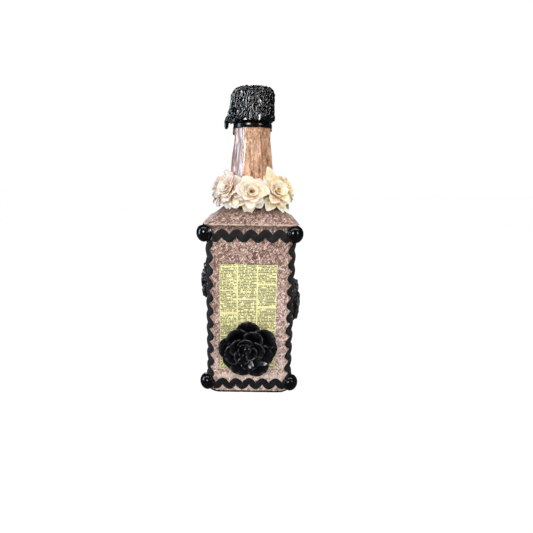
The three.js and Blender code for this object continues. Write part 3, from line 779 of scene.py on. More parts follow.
def glass_bottle(material):
    """The bottle itself: outside from the base up to the lip, then down the inside to the base."""
    half, corner = PAPER_HALF - PAPER_OFFSET, PAPER_CORNER - PAPER_OFFSET
    inside = PAPER_OFFSET + GLASS_WALL
    lip, bevel = LIP_ROUND, LIP_ROUND * 0.3
    rows = []

    def ring(z, reach):
        rows.append([around(angle, reach(angle), z) for angle in circle(GLASS_COLUMNS)])

    def square(z, narrower, sharper=0.0):
        ring(z, lambda angle: rounded_square(angle, half - narrower, corner - sharper))

    square(0.0, 2 * HEEL, HEEL)
    square(HEEL_FLAT, HEEL)
    square(HEEL * 0.6, HEEL * 0.3)
    square(HEEL * 1.4, 0.0)
    for climb in shares(8):
        z = lerp(SHOULDER_FOOT, NECK_FOOT, climb)
        ring(z, lambda angle: shoulder_reach(angle, climb, PAPER_OFFSET))
    for share in shares(12)[1:]:
        z = lerp(NECK_FOOT, NECK_TOP, share)
        ring(z, lambda angle: soft_octagon(angle, neck_half(z) - PAPER_OFFSET))
    for radius, z in ((COLLAR_RADIUS, NECK_TOP + FIT), (COLLAR_RADIUS, RING_HIGH.z),
                      (FINISH_RADIUS, RING_HIGH.z), (FINISH_RADIUS, MOUTH - lip),
                      (FINISH_RADIUS - bevel, MOUTH - bevel), (FINISH_RADIUS - lip, MOUTH),
                      (BORE_RADIUS + lip, MOUTH), (BORE_RADIUS + bevel, MOUTH - bevel),
                      (BORE_RADIUS, MOUTH - lip)):
        ring(z, lambda angle: radius)
    for share in shares(5):
        z = lerp(NECK_TOP - NECK_STRAIGHT, NECK_FOOT, share)
        ring(z, lambda angle: max(BORE_RADIUS, neck_half(z) - inside))
    for climb in shares(8)[-2::-1]:
        z = lerp(SHOULDER_FOOT, NECK_FOOT, climb)
        ring(z, lambda angle: shoulder_reach(angle, climb, inside))
    square(GLASS_BASE + HEEL, GLASS_WALL, GLASS_WALL)
    square(GLASS_BASE, GLASS_WALL + HEEL, GLASS_WALL)
    skin = Skin()
    skin.add(rows, solid=True)
    path, radii = [], []
    for share in shares(90):
        z = MOUTH - THREAD_DROP - THREAD_TURNS * THREAD_PITCH * (1 - share)
        path.append(around(-THREAD_TURNS * TURN * share, FINISH_RADIUS - THREAD_SUNK, z))
        radii.append(THREAD_RADIUS * smooth(8 * share) * smooth(8 * (1 - share)) + THREAD_TIP)
    skin.add(tube(path, radii, 10), solid=True)
    skin.ride("clear_bottle", material, "glass", "glass_bottle")


# Closure

LATHE_SEGMENTS = 96
PIN_HOLE = 0.4 * MM
RING_EDGE = 0.3 * MM
WAD_GROOVE = 0.25 * MM


def turned_piece(profile, solid, *placing):
    skin = Skin()
    skin.add(lathe(profile, LATHE_SEGMENTS), closed=True, solid=solid)
    skin.ride(*placing)


def collar_ring(material):
    """The ring left on the collar, with its edges rolled."""
    edge, third = RING_EDGE, RING_EDGE / 3
    low, high, out = NECK_TOP, RING_HIGH.z, RING_HIGH.x
    bore = COLLAR_RADIUS + FIT
    profile = [(bore, low), (out - edge, low), (out - third, low + third), (out, low + edge),
               (out, high - edge), (out - third, high - third), (out - edge, high), (bore, high), (bore, low)]
    turned_piece(profile, False, "collar_ring", material, "cap_black", "tamper_ring")


def foam_wad(material):
    """The liner, with the groove that the bottle's lip has pressed into it."""
    groove = WAD_GROOVE
    low, high, out = LINER_LOW.z, LINER_HIGH.z, LINER_HIGH.x
    profile = [(PIN_HOLE, low), (out * 0.78, low), (out * 0.8, low + groove), (out * 0.9, low + groove),
               (out * 0.92, low), (out - groove, low), (out, low + groove), (out, high - groove),
               (out - groove, high), (PIN_HOLE, high)]
    turned_piece(profile, True, "foam_wad", material, "liner", "cap_liner", "cap_seal")


def cap_brow(radius, steps):
    """(radius, height) pairs over the cap's rounded brow, at a distance from the middle of its round."""
    return [(CAP_HIGH.x - CAP_ROUND + radius * math.cos(QUARTER * share),
             CAP_HIGH.z - CAP_ROUND + radius * math.sin(QUARTER * share)) for share in shares(steps)]


def cap_shell(material):
    """The cap's thin shell, with a rolled lower edge and a rounded brow."""
    wall = CAP_WALL
    low, high, out = CAP_LOW.z, CAP_HIGH.z, CAP_HIGH.x
    inner = [(PIN_HOLE, high - wall)] + cap_brow(CAP_ROUND - wall, 8)[::-1]
    edge = [(out - wall, low + wall), (out - wall * 0.7, low),
            (out - wall * 0.3, low), (out, low + wall * 0.4)]
    outer = cap_brow(CAP_ROUND, 8) + [(PIN_HOLE, high)]
    turned_piece(inner + edge + outer, True, "cap_shell", material, "cap_black", "screw_cap", "cap")


COAT_BROW = 0.4
COAT_EDGE = 17.0 * MM
COAT_BROW_Z = 258.5 * MM
COAT_SPREAD = 2.4 * MM
CROWN_SHIFT = 2.4 * MM
CROWN_PITS = 0.8 * MM
CROWN_HOLE = 0.01
COAT_CROWN = COAT_TOP - 0.3 * MM
COAT_FOOT = CAP_LOW.z + 0.6 * MM
COAT_LEFT_FLARE = 1.7 * MM
COAT_STEPS = 80
COAT_SEGMENTS = 180
COAT_STRANDS = 56
COAT_DRIBBLES = 30
COAT_BEADS = 44
BEAD_LENGTH = 0.05
LOWEST_DRIP = 1.02
COAT_VOXEL = 0.28 * MM


def coat_outline(share):
    """(radius, height) down the coat's middle line, from the crown at 0 to its lower edge at 1."""
    if share < COAT_BROW:
        turn = QUARTER * share / COAT_BROW
        return COAT_EDGE * math.sin(turn) ** 0.9, lerp(COAT_BROW_Z, COAT_CROWN, math.cos(turn) ** 0.8)
    down = (share - COAT_BROW) / (1 - COAT_BROW)
    return COAT_EDGE + COAT_SPREAD * down ** 1.3, lerp(COAT_BROW_Z, COAT_FOOT, down)


def coat_point(angle, share, lift):
    """A point of the coat, lifted off its middle line. The coat sags to the left and its crown lies
    to the right."""
    radius, z = coat_outline(share)
    point = around(angle, radius + lift, z)
    down = max(0.0, share - COAT_BROW) / (1 - COAT_BROW)
    leftwards = max(0.0, -math.sin(angle)) ** 3
    point.x -= COAT_SWAY * down ** 1.5 + COAT_LEFT_FLARE * leftwards * down ** 3
    point.x += CROWN_SHIFT * max(0.0, 1 - share / COAT_BROW)
    return point


def pitted(point, share):
    """A point of the coat's layer, sunk on the crown where pits lie between the runs that set on it."""
    x, y = point.x / MM, point.y / MM
    pits = math.sin(2.1 * x + 1.3 * math.sin(1.7 * y)) * math.sin(2.3 * y + 1.1 * math.sin(1.9 * x))
    point.z -= CROWN_PITS * abs(pits) * max(0.0, 1 - share / COAT_BROW)
    return point


def coat_shell():
    """Rows of points for the coat's continuous layer over the cap, hollow below."""
    down = [max(CROWN_HOLE, share) for share in shares(COAT_STEPS)[:-1]]
    outer = [[pitted(coat_point(angle, share, 0.0), share) for angle in circle(COAT_SEGMENTS)]
             for share in down]
    brow = cap_brow(CAP_ROUND + FIT, 6)
    inner = [(CAP_HIGH.x + FIT, COAT_FOOT)] + brow + [(0.5 * MM, CAP_HIGH.z + FIT)]
    return outer + lathe(inner, COAT_SEGMENTS)


def strand(rng, angle, start, end, thickness):
    """Rows of points for one drip down the coat, wandering as it goes and ending in a drop."""
    lean = rng.uniform(-0.07, 0.07)
    wave = rng.uniform(0.4, 1.0) * MM
    beat = rng.uniform(4.0, 9.0) * (end - start)
    phase = rng.uniform(0, TURN)
    path, radii = [], []
    for share in shares(max(6, round(60 * (end - start)))):
        along = lerp(start, end, share)
        sway = wave * math.sin(beat * share * math.pi + phase) / max(coat_outline(along)[0], 6 * MM)
        path.append(coat_point(angle + lean * share + sway, along, thickness * 0.9))
        drop = 1 + 0.3 * math.exp(-((1 - share) * 7) ** 2)
        tip = math.sqrt(max(0.0, 1 - (2 * share - 1) ** 8))
        radii.append(thickness * max(0.2, tip) * drop * (1 + 0.14 * math.sin(beat * 5 * share + phase)))
    return tube(path, radii, 8)


# Single lumps of the coat, as a path and its radii in millimetres: the free drip at the left, the overhang
# at the right of the brow, and the pointed edges at the left and the right
COAT_LUMPS = [
    (((-19.6, -3, 243.5), (-21.2, -3, 240.8), (-22.0, -3, 238.4), (-22.2, -3, 236), (-22.3, -3, 233.6),
      (-22.4, -3, 231.8)), (1.4, 2.1, 2.2, 2.1, 1.9, 0.9)),
    (((13.5, -5, 262), (16, -5, 260.4), (17.4, -5, 258.6), (17.6, -5, 256.6)), (1.0, 1.8, 1.8, 0.6)),
    (((-17.8, -7, 246), (-19.6, -6, 243), (-21.0, -5, 240.4)), (0.8, 1.4, 0.9)),
    (((17.2, -5, 245), (18.0, -5, 242), (18.7, -5, 239.8)), (0.8, 1.3, 0.7)),
]


def drip_coat(material):
    """Hardened black drips poured over the cap, fused into one skin."""
    rng = random.Random(COAT_SEED)
    skin = Skin()
    skin.add(coat_shell(), solid=True)

    def run(angle, start, end, thickness):
        skin.add(strand(rng, angle, start, end, thickness * MM), solid=True)

    for angle in circle(COAT_STRANDS):
        run(angle + rng.uniform(-0.04, 0.04), rng.uniform(0.14, 0.26), rng.uniform(0.88, LOWEST_DRIP),
            rng.uniform(0.72, 0.95))
    for _ in range(COAT_DRIBBLES):
        start = rng.uniform(0.16, 0.8)
        end = min(LOWEST_DRIP, start + rng.uniform(0.08, 0.22))
        run(rng.uniform(0, TURN), start, end, rng.uniform(0.8, 1.1))
    for _ in range(COAT_BEADS):
        start = rng.uniform(0.2, 0.42)
        run(rng.uniform(0, TURN), start, start + BEAD_LENGTH, rng.uniform(0.6, 0.9))
    for path, radii in COAT_LUMPS:
        points = [Vector(point) * MM for point in path]
        skin.add(tube(points, [radius * MM for radius in radii], 10), solid=True)
    piece = skin.ride("drip_coat", material, "drip_coat", "cap_drip_coat", "cap")
    fuse = piece.modifiers.new("fuse", "REMESH")
    fuse.mode = "VOXEL"
    fuse.voxel_size = COAT_VOXEL
    graph = bpy.context.evaluated_depsgraph_get()
    fused = bpy.data.meshes.new_from_object(piece.evaluated_get(graph))
    piece.modifiers.clear()
    piece.data = fused
    fused.shade_smooth()


NECK_DRIPS = {"left": (math.radians(-72), 6.5 * MM), "right": (math.radians(74), 3.5 * MM)}
NECK_DRIP_LIFT = 0.3 * MM


def neck_drips(material):
    """Two dribbles of black that ran from under the ring down the neck paper."""
    for side, (angle, length) in NECK_DRIPS.items():
        path, radii = [], []
        for share in shares(8):
            z = RING_LOW.z - length * share
            path.append(around(angle, soft_octagon(angle, neck_half(z)) + NECK_DRIP_LIFT, z))
            radii.append(lerp(0.6, 1.0, share) * math.sqrt(max(0.05, 1 - share ** 6)) * MM)
        skin = Skin()
        skin.add(tube(path, radii, 10), solid=True)
        skin.ride(f"neck_drip_{side}", material, "drip_coat")


# Braid

BRAID_WAVE = 12.0 * MM
BRAID_SCALLOP = 5.0 * MM
BRAID_ROUND = 0.85
BRAID_CORE = 0.35 * MM
BRAID_THICK = 1.2 * MM
BRAID_SOLID = 0.45
BRAID_ACROSS = 12
BRAID_STEP = 0.75 * MM
BRAID_TUCK = 2.2 * MM
CORNER_SPREAD = 1.15
CORNERS = {
    "front_right": EIGHTH, "back_right": 3 * EIGHTH, "back_left": -3 * EIGHTH, "front_left": -EIGHTH,
}
# Each face's direction, and how far its braid runs on round the corner at its left and right ends
FACES = {
    "front": (0.0, 5.4 * MM, 5.4 * MM),
    "right": (QUARTER, 0.8 * MM, 2.2 * MM),
    "back": (math.pi, 6.2 * MM, 6.2 * MM),
    "left": (-QUARTER, 2.2 * MM, 0.8 * MM),
}


def braid_strip(node, start, end, place, material):
    """A wavy band with round scallops along both edges, placed by a function of (along, across, height)."""
    def at(run, share):
        along = lerp(start, end, run)
        phase = math.pi * along / BRAID_WAVE
        upper = BRAID_CORE + BRAID_SCALLOP * abs(math.cos(phase)) ** BRAID_ROUND
        lower = -BRAID_CORE - BRAID_SCALLOP * abs(math.sin(phase)) ** BRAID_ROUND
        across = lerp(lower, upper, share)
        dome = 1 - abs(2 * share - 1) ** 4
        cord = abs(math.sin(math.pi * (across + along) / CORD_WIDTH / 2))
        height = BRAID_THICK * (0.35 + 0.5 * dome + 0.1 * cord * dome)
        return place(along, across, height), dict(along=along, across=across - (upper + lower) / 2)

    skin = Skin()
    skin.lay(shares(max(2, round((end - start) / BRAID_STEP))), shares(BRAID_ACROSS), at)
    thicken(skin.ride(f"wavy_{node}", material, "braid", node), BRAID_THICK * BRAID_SOLID)


def corner_frame(angle, turn):
    """The middle of a rounded corner, and the direction of what sits on it, turned to the bottle's side."""
    centre = around(angle, (PAPER_HALF - PAPER_CORNER) * math.sqrt(2), 0.0)
    side = math.copysign(QUARTER, angle)
    return centre, angle + math.copysign(turn, side - angle)


def on_face(angle, along, height, z):
    """A point over a face, followed round its rounded corners past the flat."""
    flat = PAPER_HALF - PAPER_CORNER
    bend = max(0.0, abs(along) - flat) / PAPER_CORNER
    sideways = min(abs(along), flat) + (PAPER_CORNER + height) * math.sin(bend)
    outwards = flat + (PAPER_CORNER + height) * math.cos(bend)
    return around(angle, outwards, z) + math.copysign(sideways, along) * rightwards(angle)


def all_braid(material):
    """Braid along the top and the foot of each face, and bent round each corner."""
    flat = PAPER_HALF - PAPER_CORNER
    for face, (angle, left_end, right_end) in FACES.items():
        for level in ("top", "foot"):
            node = f"braid_{level}_{face}"
            low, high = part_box(node)
            middle = (low.z + high.z) / 2

            def on_side(along, across, height):
                return on_face(angle, along, height, middle + across)

            braid_strip(node, -flat - left_end, flat + right_end, on_side, material)
    for corner, angle in CORNERS.items():
        node = f"braid_corner_{corner}"
        low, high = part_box(node)
        middle = (low.z + high.z) / 2
        half = (high.z - low.z) / 2 + (BRAID_TUCK if corner.startswith("front") else 0.0)
        centre, turned = corner_frame(angle, CORNER_TURN)

        def on_corner(along, across, height):
            bend = CORNER_SPREAD * across / PAPER_CORNER
            return centre + around(turned + bend, PAPER_CORNER + height, middle + along)

        braid_strip(node, -half, half, on_corner, material)


# Knobs

KNOB_SEGMENTS = 64
KNOB_DOME_STEPS = 16
KNOB_CREST = 0.92
KNOB_SHRINK = 0.1 * MM
KNOB_TIP = 0.15 * MM
# Beads of the collar, as shares of the dome's radius and of the collar's length
KNOB_RINGS = (
    (0.80, 0.04), (0.88, 0.10), (0.93, 0.20), (0.88, 0.31), (0.76, 0.38), (0.76, 0.45),
    (0.88, 0.52), (0.96, 0.64), (0.88, 0.76), (0.78, 0.82), (0.82, 0.87), (0.93, 0.93),
)
# Each knob was stuck on in its own way: degrees towards the side, then millimetres of collar and of dome
KNOBS = {
    "top_front_left": (14, 3.4, 6.0),
    "top_front_right": (1, 2.8, 6.4),
    "foot_front_left": (10, 2.8, 6.0),
    "foot_front_right": (6, 2.8, 6.2),
}


def knob(place, material):
    """A turned knob on a rounded corner: beads, then a dome, its foot cut to the corner's curve."""
    node = f"knob_{place}"
    turn, collar, dome = KNOBS[place]
    collar *= MM
    dome *= MM
    centre, turned = corner_frame(CORNERS[place.split("_", 1)[1]], math.radians(turn))
    centre.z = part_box(node)[0].z + KNOB_RADIUS
    out = around(turned, 1.0, 0.0)
    side = rightwards(turned)
    widest = KNOB_RADIUS - KNOB_SHRINK
    profile = [(widest * KNOB_RINGS[0][0], 0.0)]
    profile += [(widest * across, collar * along) for across, along in KNOB_RINGS]
    for share in shares(KNOB_DOME_STEPS)[:-1]:
        bend = QUARTER * share
        profile.append((widest * math.cos(bend), collar + dome * math.sin(bend)))
    profile.append((KNOB_TIP, collar + dome))

    def at(ring, bend):
        radius, depth = ring
        across = radius * math.cos(bend)
        sink = PAPER_CORNER - math.sqrt(PAPER_CORNER ** 2 - across ** 2)
        reach = PAPER_CORNER + depth - sink * max(0.0, 1 - depth / collar)
        point = centre + out * reach + side * across + Vector((0, 0, radius * math.sin(bend)))
        # edge marks the beads' crests for their painted highlight
        return point, dict(edge=float(depth < collar and radius > KNOB_CREST * widest))

    skin = Skin()
    skin.lay(profile, circle(KNOB_SEGMENTS), at, solid=True)
    skin.ride(f"turned_{node}", material, "knob", node)


# Petals

PETAL_GRID = 8
SPINE_STEPS = 20


def petal_spine(petal):
    """Points along a petal's middle, as (outwards, height, slope): it bends by curl and rolls back at its
    tip."""
    outwards, height = petal["root"], petal["lift"]
    step = petal["length"] / SPINE_STEPS
    spine = []
    for along in shares(SPINE_STEPS):
        slope = petal["rise"] + petal["curl"] * along - petal["roll"] * along ** 6
        spine.append((outwards, height, slope))
        outwards += step * math.cos(slope)
        height += step * math.sin(slope)
    return spine


def add_petal(skin, place, angle, petal, tint=0.0):
    """Adds one petal to a skin: a rounded blade that bends away from its flower's axis.

    place is the flower's frame, with +Z its axis. The petal's sizes are root, length, width and lift. Its
    angles are rise (at the root), curl (added by the tip) and roll (taken back at the rim), and its shares
    are narrow (root width), point (tip), cup and ruffle.
    """
    spine = petal_spine(petal)
    turn = Matrix.Rotation(angle, 3, "Z")
    phase = petal["phase"]
    grid = [2 * share - 1 for share in shares(PETAL_GRID)]

    def at(b, a):
        across = a * math.sqrt(1 - b * b / 2)
        along = (b * math.sqrt(1 - a * a / 2) + 1) / 2
        spread = lerp(petal["narrow"], 1.0, smooth(along * 1.6)) * (1 - petal["point"] * along ** 3)
        sideways = across * spread * petal["width"] / 2
        station = min(SPINE_STEPS - 1, int(along * SPINE_STEPS))
        share = along * SPINE_STEPS - station
        outwards, height, slope = (lerp(*ends, share) for ends in zip(spine[station], spine[station + 1]))
        wave = math.sin(3 * math.pi * across + phase) + 0.6 * math.sin(5 * along + 2 * phase)
        raised = petal["width"] * (petal["cup"] * across ** 2 + petal["ruffle"] * wave * along ** 2)
        point = (outwards - raised * math.sin(slope), sideways, height + raised * math.cos(slope))
        # edge marks the rim for the black flowers' painted highlight
        rim = max(0.0, (max(abs(a), abs(b)) - 0.6) / 0.4) ** 2
        edge = rim if along > 0.25 else 0.0
        return place @ (turn @ Vector(point)), dict(blush=1 - along, edge=edge, tint=tint)

    skin.lay(grid, grid, at)


def flower_frame(centre, angle, tilt):
    """A frame at a point: +Z out of the bottle at an angle and a tilt, +Y as upright as it can be."""
    out = around(angle, math.cos(tilt), math.sin(tilt))
    side = rightwards(angle)
    return Matrix.Translation(centre) @ Matrix((side, out.cross(side), out)).transposed().to_4x4()


def as_petals(piece, thickness):
    """Gives the blades of a piece their thickness and rounds them off."""
    thicken(piece, thickness, 0)
    finer = piece.modifiers.new("rounding", "SUBSURF")
    finer.levels = 1
    finer.render_levels = 1


# Black flowers

BLACK_LAYERS = {"outer_petals": 9, "inner_petals": 9}
BLACK_WIDE_SHARE = 0.32
FRONT_PETAL_THICK = 1.1 * MM
SIDE_PETAL_THICK = 2.8 * MM
GOLDEN_ANGLE = math.radians(137.5)
BUD_LIFT = 4.2 * MM
BUD_STEPS = 14
BUD_SEGMENTS = 40
# Each flower's direction, seed, depth, angle from petal to petal, petal thickness and skew, which makes the
# petals at its right longer and those at its left shorter
BLACK_FLOWERS = {
    "front_flower": (0.0, 3, 1.0, -GOLDEN_ANGLE, FRONT_PETAL_THICK, 0.1),
    "right_flower": (QUARTER, 4, SIDE_DEPTH, GOLDEN_ANGLE, SIDE_PETAL_THICK, 0.0),
    "left_flower": (-QUARTER, 5, SIDE_DEPTH, GOLDEN_ANGLE, SIDE_PETAL_THICK, 0.0),
}


def black_petal(rng, reach, share):
    """Sizes of one petal of a black flower, from the outermost at share 0 to the innermost at 1."""
    inwards = max(0.0, share - BLACK_WIDE_SHARE) / (1 - BLACK_WIDE_SHARE)
    span = reach * lerp(0.97, 0.3, inwards) * rng.uniform(0.95, 1.02)
    root = reach * lerp(0.24, 0.05, share)
    rise = lerp(0.1, 0.55, share) + rng.uniform(-0.05, 0.05)
    curl = lerp(0.24, 0.4, share)
    return dict(root=root, length=(span - root) / math.cos(rise + curl / 2),
                lift=lerp(1.2, 4.4, share) * MM, width=reach * lerp(0.84, 0.5, inwards),
                rise=rise, curl=curl, roll=lerp(0.7, 0.4, share), narrow=0.5, point=0.0,
                cup=lerp(0.08, 0.2, share), ruffle=0.03, phase=rng.uniform(0, TURN))


def black_flower(name, material):
    """A black flower on a face: broad petals set in a spiral, ever smaller and steeper, round a bud."""
    angle, seed, depth, spiral, thickness, skew = BLACK_FLOWERS[name]
    rng = random.Random(seed)
    low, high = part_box(f"{name}_outer_petals")
    reach = (high.z - low.z) / 2
    middle = (low + high) / 2
    side = rightwards(angle)
    seat = around(angle, PAPER_HALF + FIT, middle.z) + middle.dot(side) * side
    place = flower_frame(seat, angle, 0.0) @ Matrix.Diagonal((1.0, 1.0, depth, 1.0))
    total = sum(BLACK_LAYERS.values())
    number = 0
    for layer, count in BLACK_LAYERS.items():
        skin = Skin()
        for _ in range(count):
            petal = black_petal(rng, reach, number / (total - 1))
            direction = number * spiral + rng.uniform(-0.12, 0.12)
            petal["length"] *= 1 + skew * math.cos(direction)
            add_petal(skin, place, direction, petal)
            number += 1
        node = f"{name}_{layer}"
        as_petals(skin.ride(f"{node}_painted", material, "black_flower", node), thickness)
    bud = Skin()
    add_bud(bud, place, reach * 0.17, reach * 0.25)
    bud.ride(f"{name}_bud", material, "black_flower", f"{name}_heart")


def add_bud(skin, place, radius, height):
    """A closed bud: an egg with a rolled seam spiralling up it."""
    def at(share, angle):
        turn = lerp(-0.9, QUARTER * 0.98, share)
        seam = max(0.0, math.sin(angle + 2.2 * turn))
        swell = radius * math.cos(turn) ** 0.8 * (1 + 0.14 * seam ** 3)
        z = BUD_LIFT + height * (math.sin(turn) + 0.6) / 1.6
        # edge marks the seam for its painted highlight
        return place @ Vector((swell * math.cos(angle), swell * math.sin(angle), z)), dict(edge=seam ** 6)

    skin.lay(shares(BUD_STEPS), circle(BUD_SEGMENTS), at, solid=True)


# Garland

GARLAND_FLOWERS = 8
# Whorls of a cream flower, from the outermost in: how many petals, their sizes in millimetres, their shape
WHORL_SIZES = ("root", "length", "width", "lift")
WHORL_SHAPE = ("rise", "curl", "cup", "point", "roll")
CREAM_WHORLS = [
    (8, (1.0, 17.5, 16.0, -5.2), (0.1, -0.4, 0.14, 0.5, 0.2)),
    (8, (1.0, 14.5, 14.5, -4.0), (0.4, -0.25, 0.18, 0.35, 0.4)),
    (6, (1.0, 11.5, 12.5, -2.8), (0.75, -0.15, 0.22, 0.25, 0.5)),
    (4, (0.8, 8.0, 10.0, -1.6), (1.05, 0.0, 0.26, 0.15, 0.6)),
]
CREAM_PETAL_THICK = 0.5 * MM
LEFT_GROWTH = 1.1
LEFT_LIFT = 3.0 * MM
GARLAND_SAG = 1.5 * MM
NECK_CROWDING = 0.06
# Flowers with one tall upright petal: its direction in degrees, then its length and width in millimetres
TALL_PETALS = {2: (100, 21, 14), 8: (130, 18, 15)}
TALL_SHAPE = dict(root=2 * MM, lift=-5 * MM, rise=0.3, curl=0.1, cup=0.1, point=0.5, roll=0.2,
                  narrow=0.4, ruffle=0.05, phase=1.0)
HEART_TURNS = 2.3
HEART_STEPS = 64
HEART_LEVELS = 4


def cream_flower(number, petal_material, heart_material):
    """One cream flower of the garland: drooping outer petals, cupped inner ones and a rolled heart."""
    name = f"cream_flower_{number}"
    rng = random.Random(CREAM_SEED + number)
    low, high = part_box(f"{name}_heart")
    middle = (low + high) / 2
    angle = math.atan2(middle.x, -middle.y)
    pinkness = 0.5 - 0.5 * math.sin(angle)
    leftness = max(0.0, -math.sin(angle))
    middle.z += LEFT_LIFT * leftness - GARLAND_SAG * (1 - leftness)
    place = flower_frame(middle, angle + rng.uniform(-0.12, 0.12), GARLAND_TILT + rng.uniform(-0.15, 0.15))
    place = place @ Matrix.Scale(lerp(1.0, LEFT_GROWTH, leftness), 4)
    skin = Skin()
    for count, sizes, shape in CREAM_WHORLS:
        start = rng.uniform(0, TURN)
        for i in range(count):
            petal = {key: size * MM for key, size in zip(WHORL_SIZES, sizes)}
            petal.update(zip(WHORL_SHAPE, shape))
            petal["length"] *= rng.uniform(0.8, 1.1)
            petal["width"] *= rng.uniform(0.8, 1.1)
            direction = start + TURN * (i + rng.uniform(-0.25, 0.25)) / count
            petal["length"] *= 1 - NECK_CROWDING * max(0.0, math.sin(direction))
            petal["rise"] += rng.uniform(-0.15, 0.15)
            petal.update(narrow=0.4, ruffle=0.045, phase=rng.uniform(0, TURN))
            add_petal(skin, place, direction, petal, clamp(pinkness * 1.1 + rng.uniform(-0.35, 0.35)))
    if number in TALL_PETALS:
        direction, length, width = TALL_PETALS[number]
        tall = dict(TALL_SHAPE, length=length * MM, width=width * MM)
        add_petal(skin, place, math.radians(direction), tall, pinkness)
    as_petals(skin.ride(f"{name}_paper", petal_material, "cream_petal", f"{name}_petals"), CREAM_PETAL_THICK)
    heart = Skin()
    add_rolled_heart(heart, place, rng.uniform(0, TURN))
    as_petals(heart.ride(f"{name}_roll", heart_material, "gold_heart", f"{name}_heart"), CREAM_PETAL_THICK)


def add_rolled_heart(skin, place, start):
    """A strip of paper rolled into a spiral, flared at the outside, with painted shade darkening it down its
    middle.
    """
    def at(share, up):
        angle = start + HEART_TURNS * TURN * share
        radius = lerp(0.8, 4.9, share) * MM
        wave = 1 + 0.16 * math.sin(3.4 * angle)
        flare = radius * (0.75 + 0.25 * up + 0.2 * up ** 3 * share) * wave
        z = lerp(-2.6, lerp(2.6, 1.4, share) + 0.4 * math.sin(5 * angle), up) * MM
        point = place @ Vector((flare * math.cos(angle), flare * math.sin(angle), z))
        # painted shade deep in the roll; brown along its upper edge
        return point, dict(blush=1 - 0.9 * up ** 1.5 - 0.1 * share, edge=0.8 * up ** 8)

    skin.lay(shares(HEART_STEPS), shares(HEART_LEVELS), at)


# Stage, lamps and camera

CAMERA_DISTANCE = 0.360
CAMERA_HEIGHT = 0.200
CAMERA_PITCH = math.radians(14.1)
CAMERA_ROLL = math.radians(0.75)
LENS = 26.58
SHIFT_X = 0.030
WHITE = (1.0, 1.0, 1.0, 1.0)
CARD_GREY = (0.06, 0.06, 0.06, 1.0)
FLOOR_REACH = 3.0
FLOOR_DROP = 0.05 * MM
FLOOR_GLOW = 0.99
GLOSS_SHARE = 0.06
ROOM_LIGHT = 0.05
CARD_SPREAD = 36
# What the lamps point at
MIDDLE = (0.0, 0.0, 0.14)
FOOT = (0.0, 0.0, 0.06)
NECK = (0.0, 0.0, 0.2)
CAP = (0.0, 0.0, 0.24)


def shown_white(tree):
    """1 where the camera or glass shows a surface, less where gloss does, so that black paint stays black."""
    rays = add_node(tree, "LightPath").outputs
    clear = Level(rays["Is Camera Ray"]).math("MAXIMUM", Level(rays["Is Transmission Ray"]))
    return clear.math("MAXIMUM", Level(rays["Is Glossy Ray"]) * GLOSS_SHARE)


def stage():
    """A pale floor: a dark card to the lamps, raised to white where it shows, with the bottle's shadow."""
    settings = {"Base Color": CARD_GREY, "Roughness": 0.9, "Specular IOR Level": 0.0, "Emission Color": WHITE}
    paint = Paint("floor_white", settings)
    paint.feed("Emission Strength", shown_white(paint.tree) * FLOOR_GLOW)
    ends = (-FLOOR_REACH, FLOOR_REACH)
    floor = Skin()
    floor.add([[Vector((x, y, -FLOOR_DROP)) for x in ends] for y in ends])
    floor.piece("floor", paint.material)


def room():
    """A dim white room, which shows as plain white."""
    world = bpy.data.worlds.new("room")
    bpy.context.scene.world = world
    world.use_nodes = True
    background = world.node_tree.nodes["Background"].inputs
    join(WHITE, background["Color"])
    join(shown_white(world.node_tree).math("MAXIMUM", ROOM_LIGHT), background["Strength"])


def lamp(name, place, target, size, power, colour=(1.0, 1.0, 1.0), diffuse=True, gloss=True, spread=180):
    """A rectangle of light that points at a target, and is left out of diffuse light or of gloss if asked."""
    light = bpy.data.lights.new(name, "AREA")
    light.shape = "RECTANGLE"
    light.size, light.size_y = size
    light.energy = power
    light.color = colour
    light.spread = math.radians(spread)
    holder = add_object(name, light)
    holder.location = place
    holder.rotation_euler = (Vector(target) - Vector(place)).to_track_quat("-Z", "Y").to_euler()
    holder.visible_diffuse = diffuse
    holder.visible_glossy = gloss


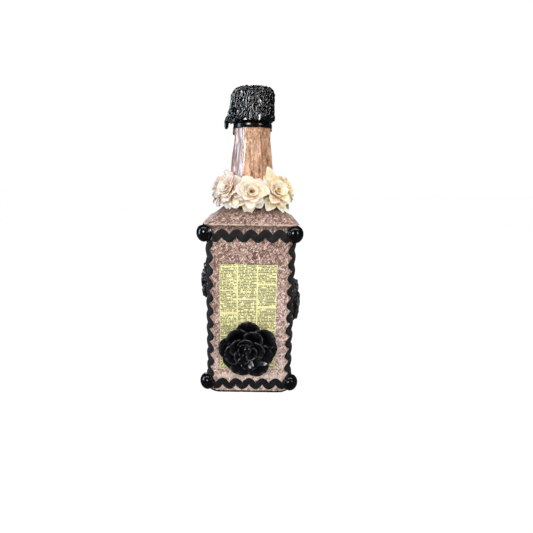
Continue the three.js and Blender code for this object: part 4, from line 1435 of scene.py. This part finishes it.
def lights():
    """Lamps that light the colours, then cards, a strip and a window that only gloss shows."""
    lamp("key", (0.05, -0.7, 0.52), MIDDLE, (0.5, 0.4), 4.5, gloss=False)
    lamp("fill", (0.4, -0.6, 0.08), FOOT, (0.5, 0.12), 1.5, gloss=False)
    lamp("left_fill", (-0.55, -0.45, 0.3), MIDDLE, (0.3, 0.2), 2.2, gloss=False)
    lamp("right_fill", (0.7, 0.15, 0.3), MIDDLE, (0.3, 0.3), 1.5, gloss=False)
    lamp("back_fill", (-0.15, 0.7, 0.45), MIDDLE, (0.5, 0.4), 3.6)
    lamp("top", (0.1, 0.1, 0.8), MIDDLE, (0.3, 0.3), 1.8, gloss=False)
    lamp("left_card", (-0.28, -0.66, 0.48), CAP, (0.24, 0.36), 0.46, diffuse=False, spread=CARD_SPREAD)
    lamp("right_card", (0.52, -0.5, 0.46), CAP, (0.1, 0.4), 0.12, diffuse=False, spread=CARD_SPREAD)
    lamp("strip", (0.0, -0.2, 0.78), (0.0, 0.0, 0.16), (1.3, 0.1), 4.4, diffuse=False)
    lamp("window", (-0.8, -0.1, 0.28), NECK, (0.2, 0.56), 5.8, (0.48, 0.7, 1.0), diffuse=False)


def camera():
    data = bpy.data.cameras.new("camera")
    data.lens = LENS
    data.shift_x = SHIFT_X
    holder = add_object("camera", data)
    holder.location = (0.0, -CAMERA_DISTANCE, CAMERA_HEIGHT)
    turned = Matrix.Rotation(QUARTER - CAMERA_PITCH, 3, "X") @ Matrix.Rotation(CAMERA_ROLL, 3, "Z")
    holder.rotation_euler = turned.to_euler()
    bpy.context.scene.camera = holder


def build():
    """Every piece, with one material for each finish."""
    tissue = tissue_paint()
    body_wrap(tissue)
    shoulder_wrap(tissue)
    neck_wrap(neck_paint())
    newsprint_panel(newsprint_paint())
    glass_bottle(glass_paint())
    cap_black = gloss_paint("cap_black", 0.2)
    collar_ring(cap_black)
    foam_wad(liner_paint())
    cap_shell(cap_black)
    black_drips = drip_paint()
    drip_coat(black_drips)
    neck_drips(black_drips)
    all_braid(braid_paint())
    knob_gloss = gloss_paint("knob", 0.1, brushed=0.05 * MM)
    for place in KNOBS:
        knob(place, knob_gloss)
    petal_gloss = gloss_paint("black_flower", 0.13, brushed=0.04 * MM)
    for name in BLACK_FLOWERS:
        black_flower(name, petal_gloss)
    cream = petal_paint()
    gold = heart_paint()
    for number in range(1, GARLAND_FLOWERS + 1):
        cream_flower(number, cream, gold)


build()
stage()
room()
lights()
camera()
bpy.context.scene.view_settings.view_transform = "Standard"
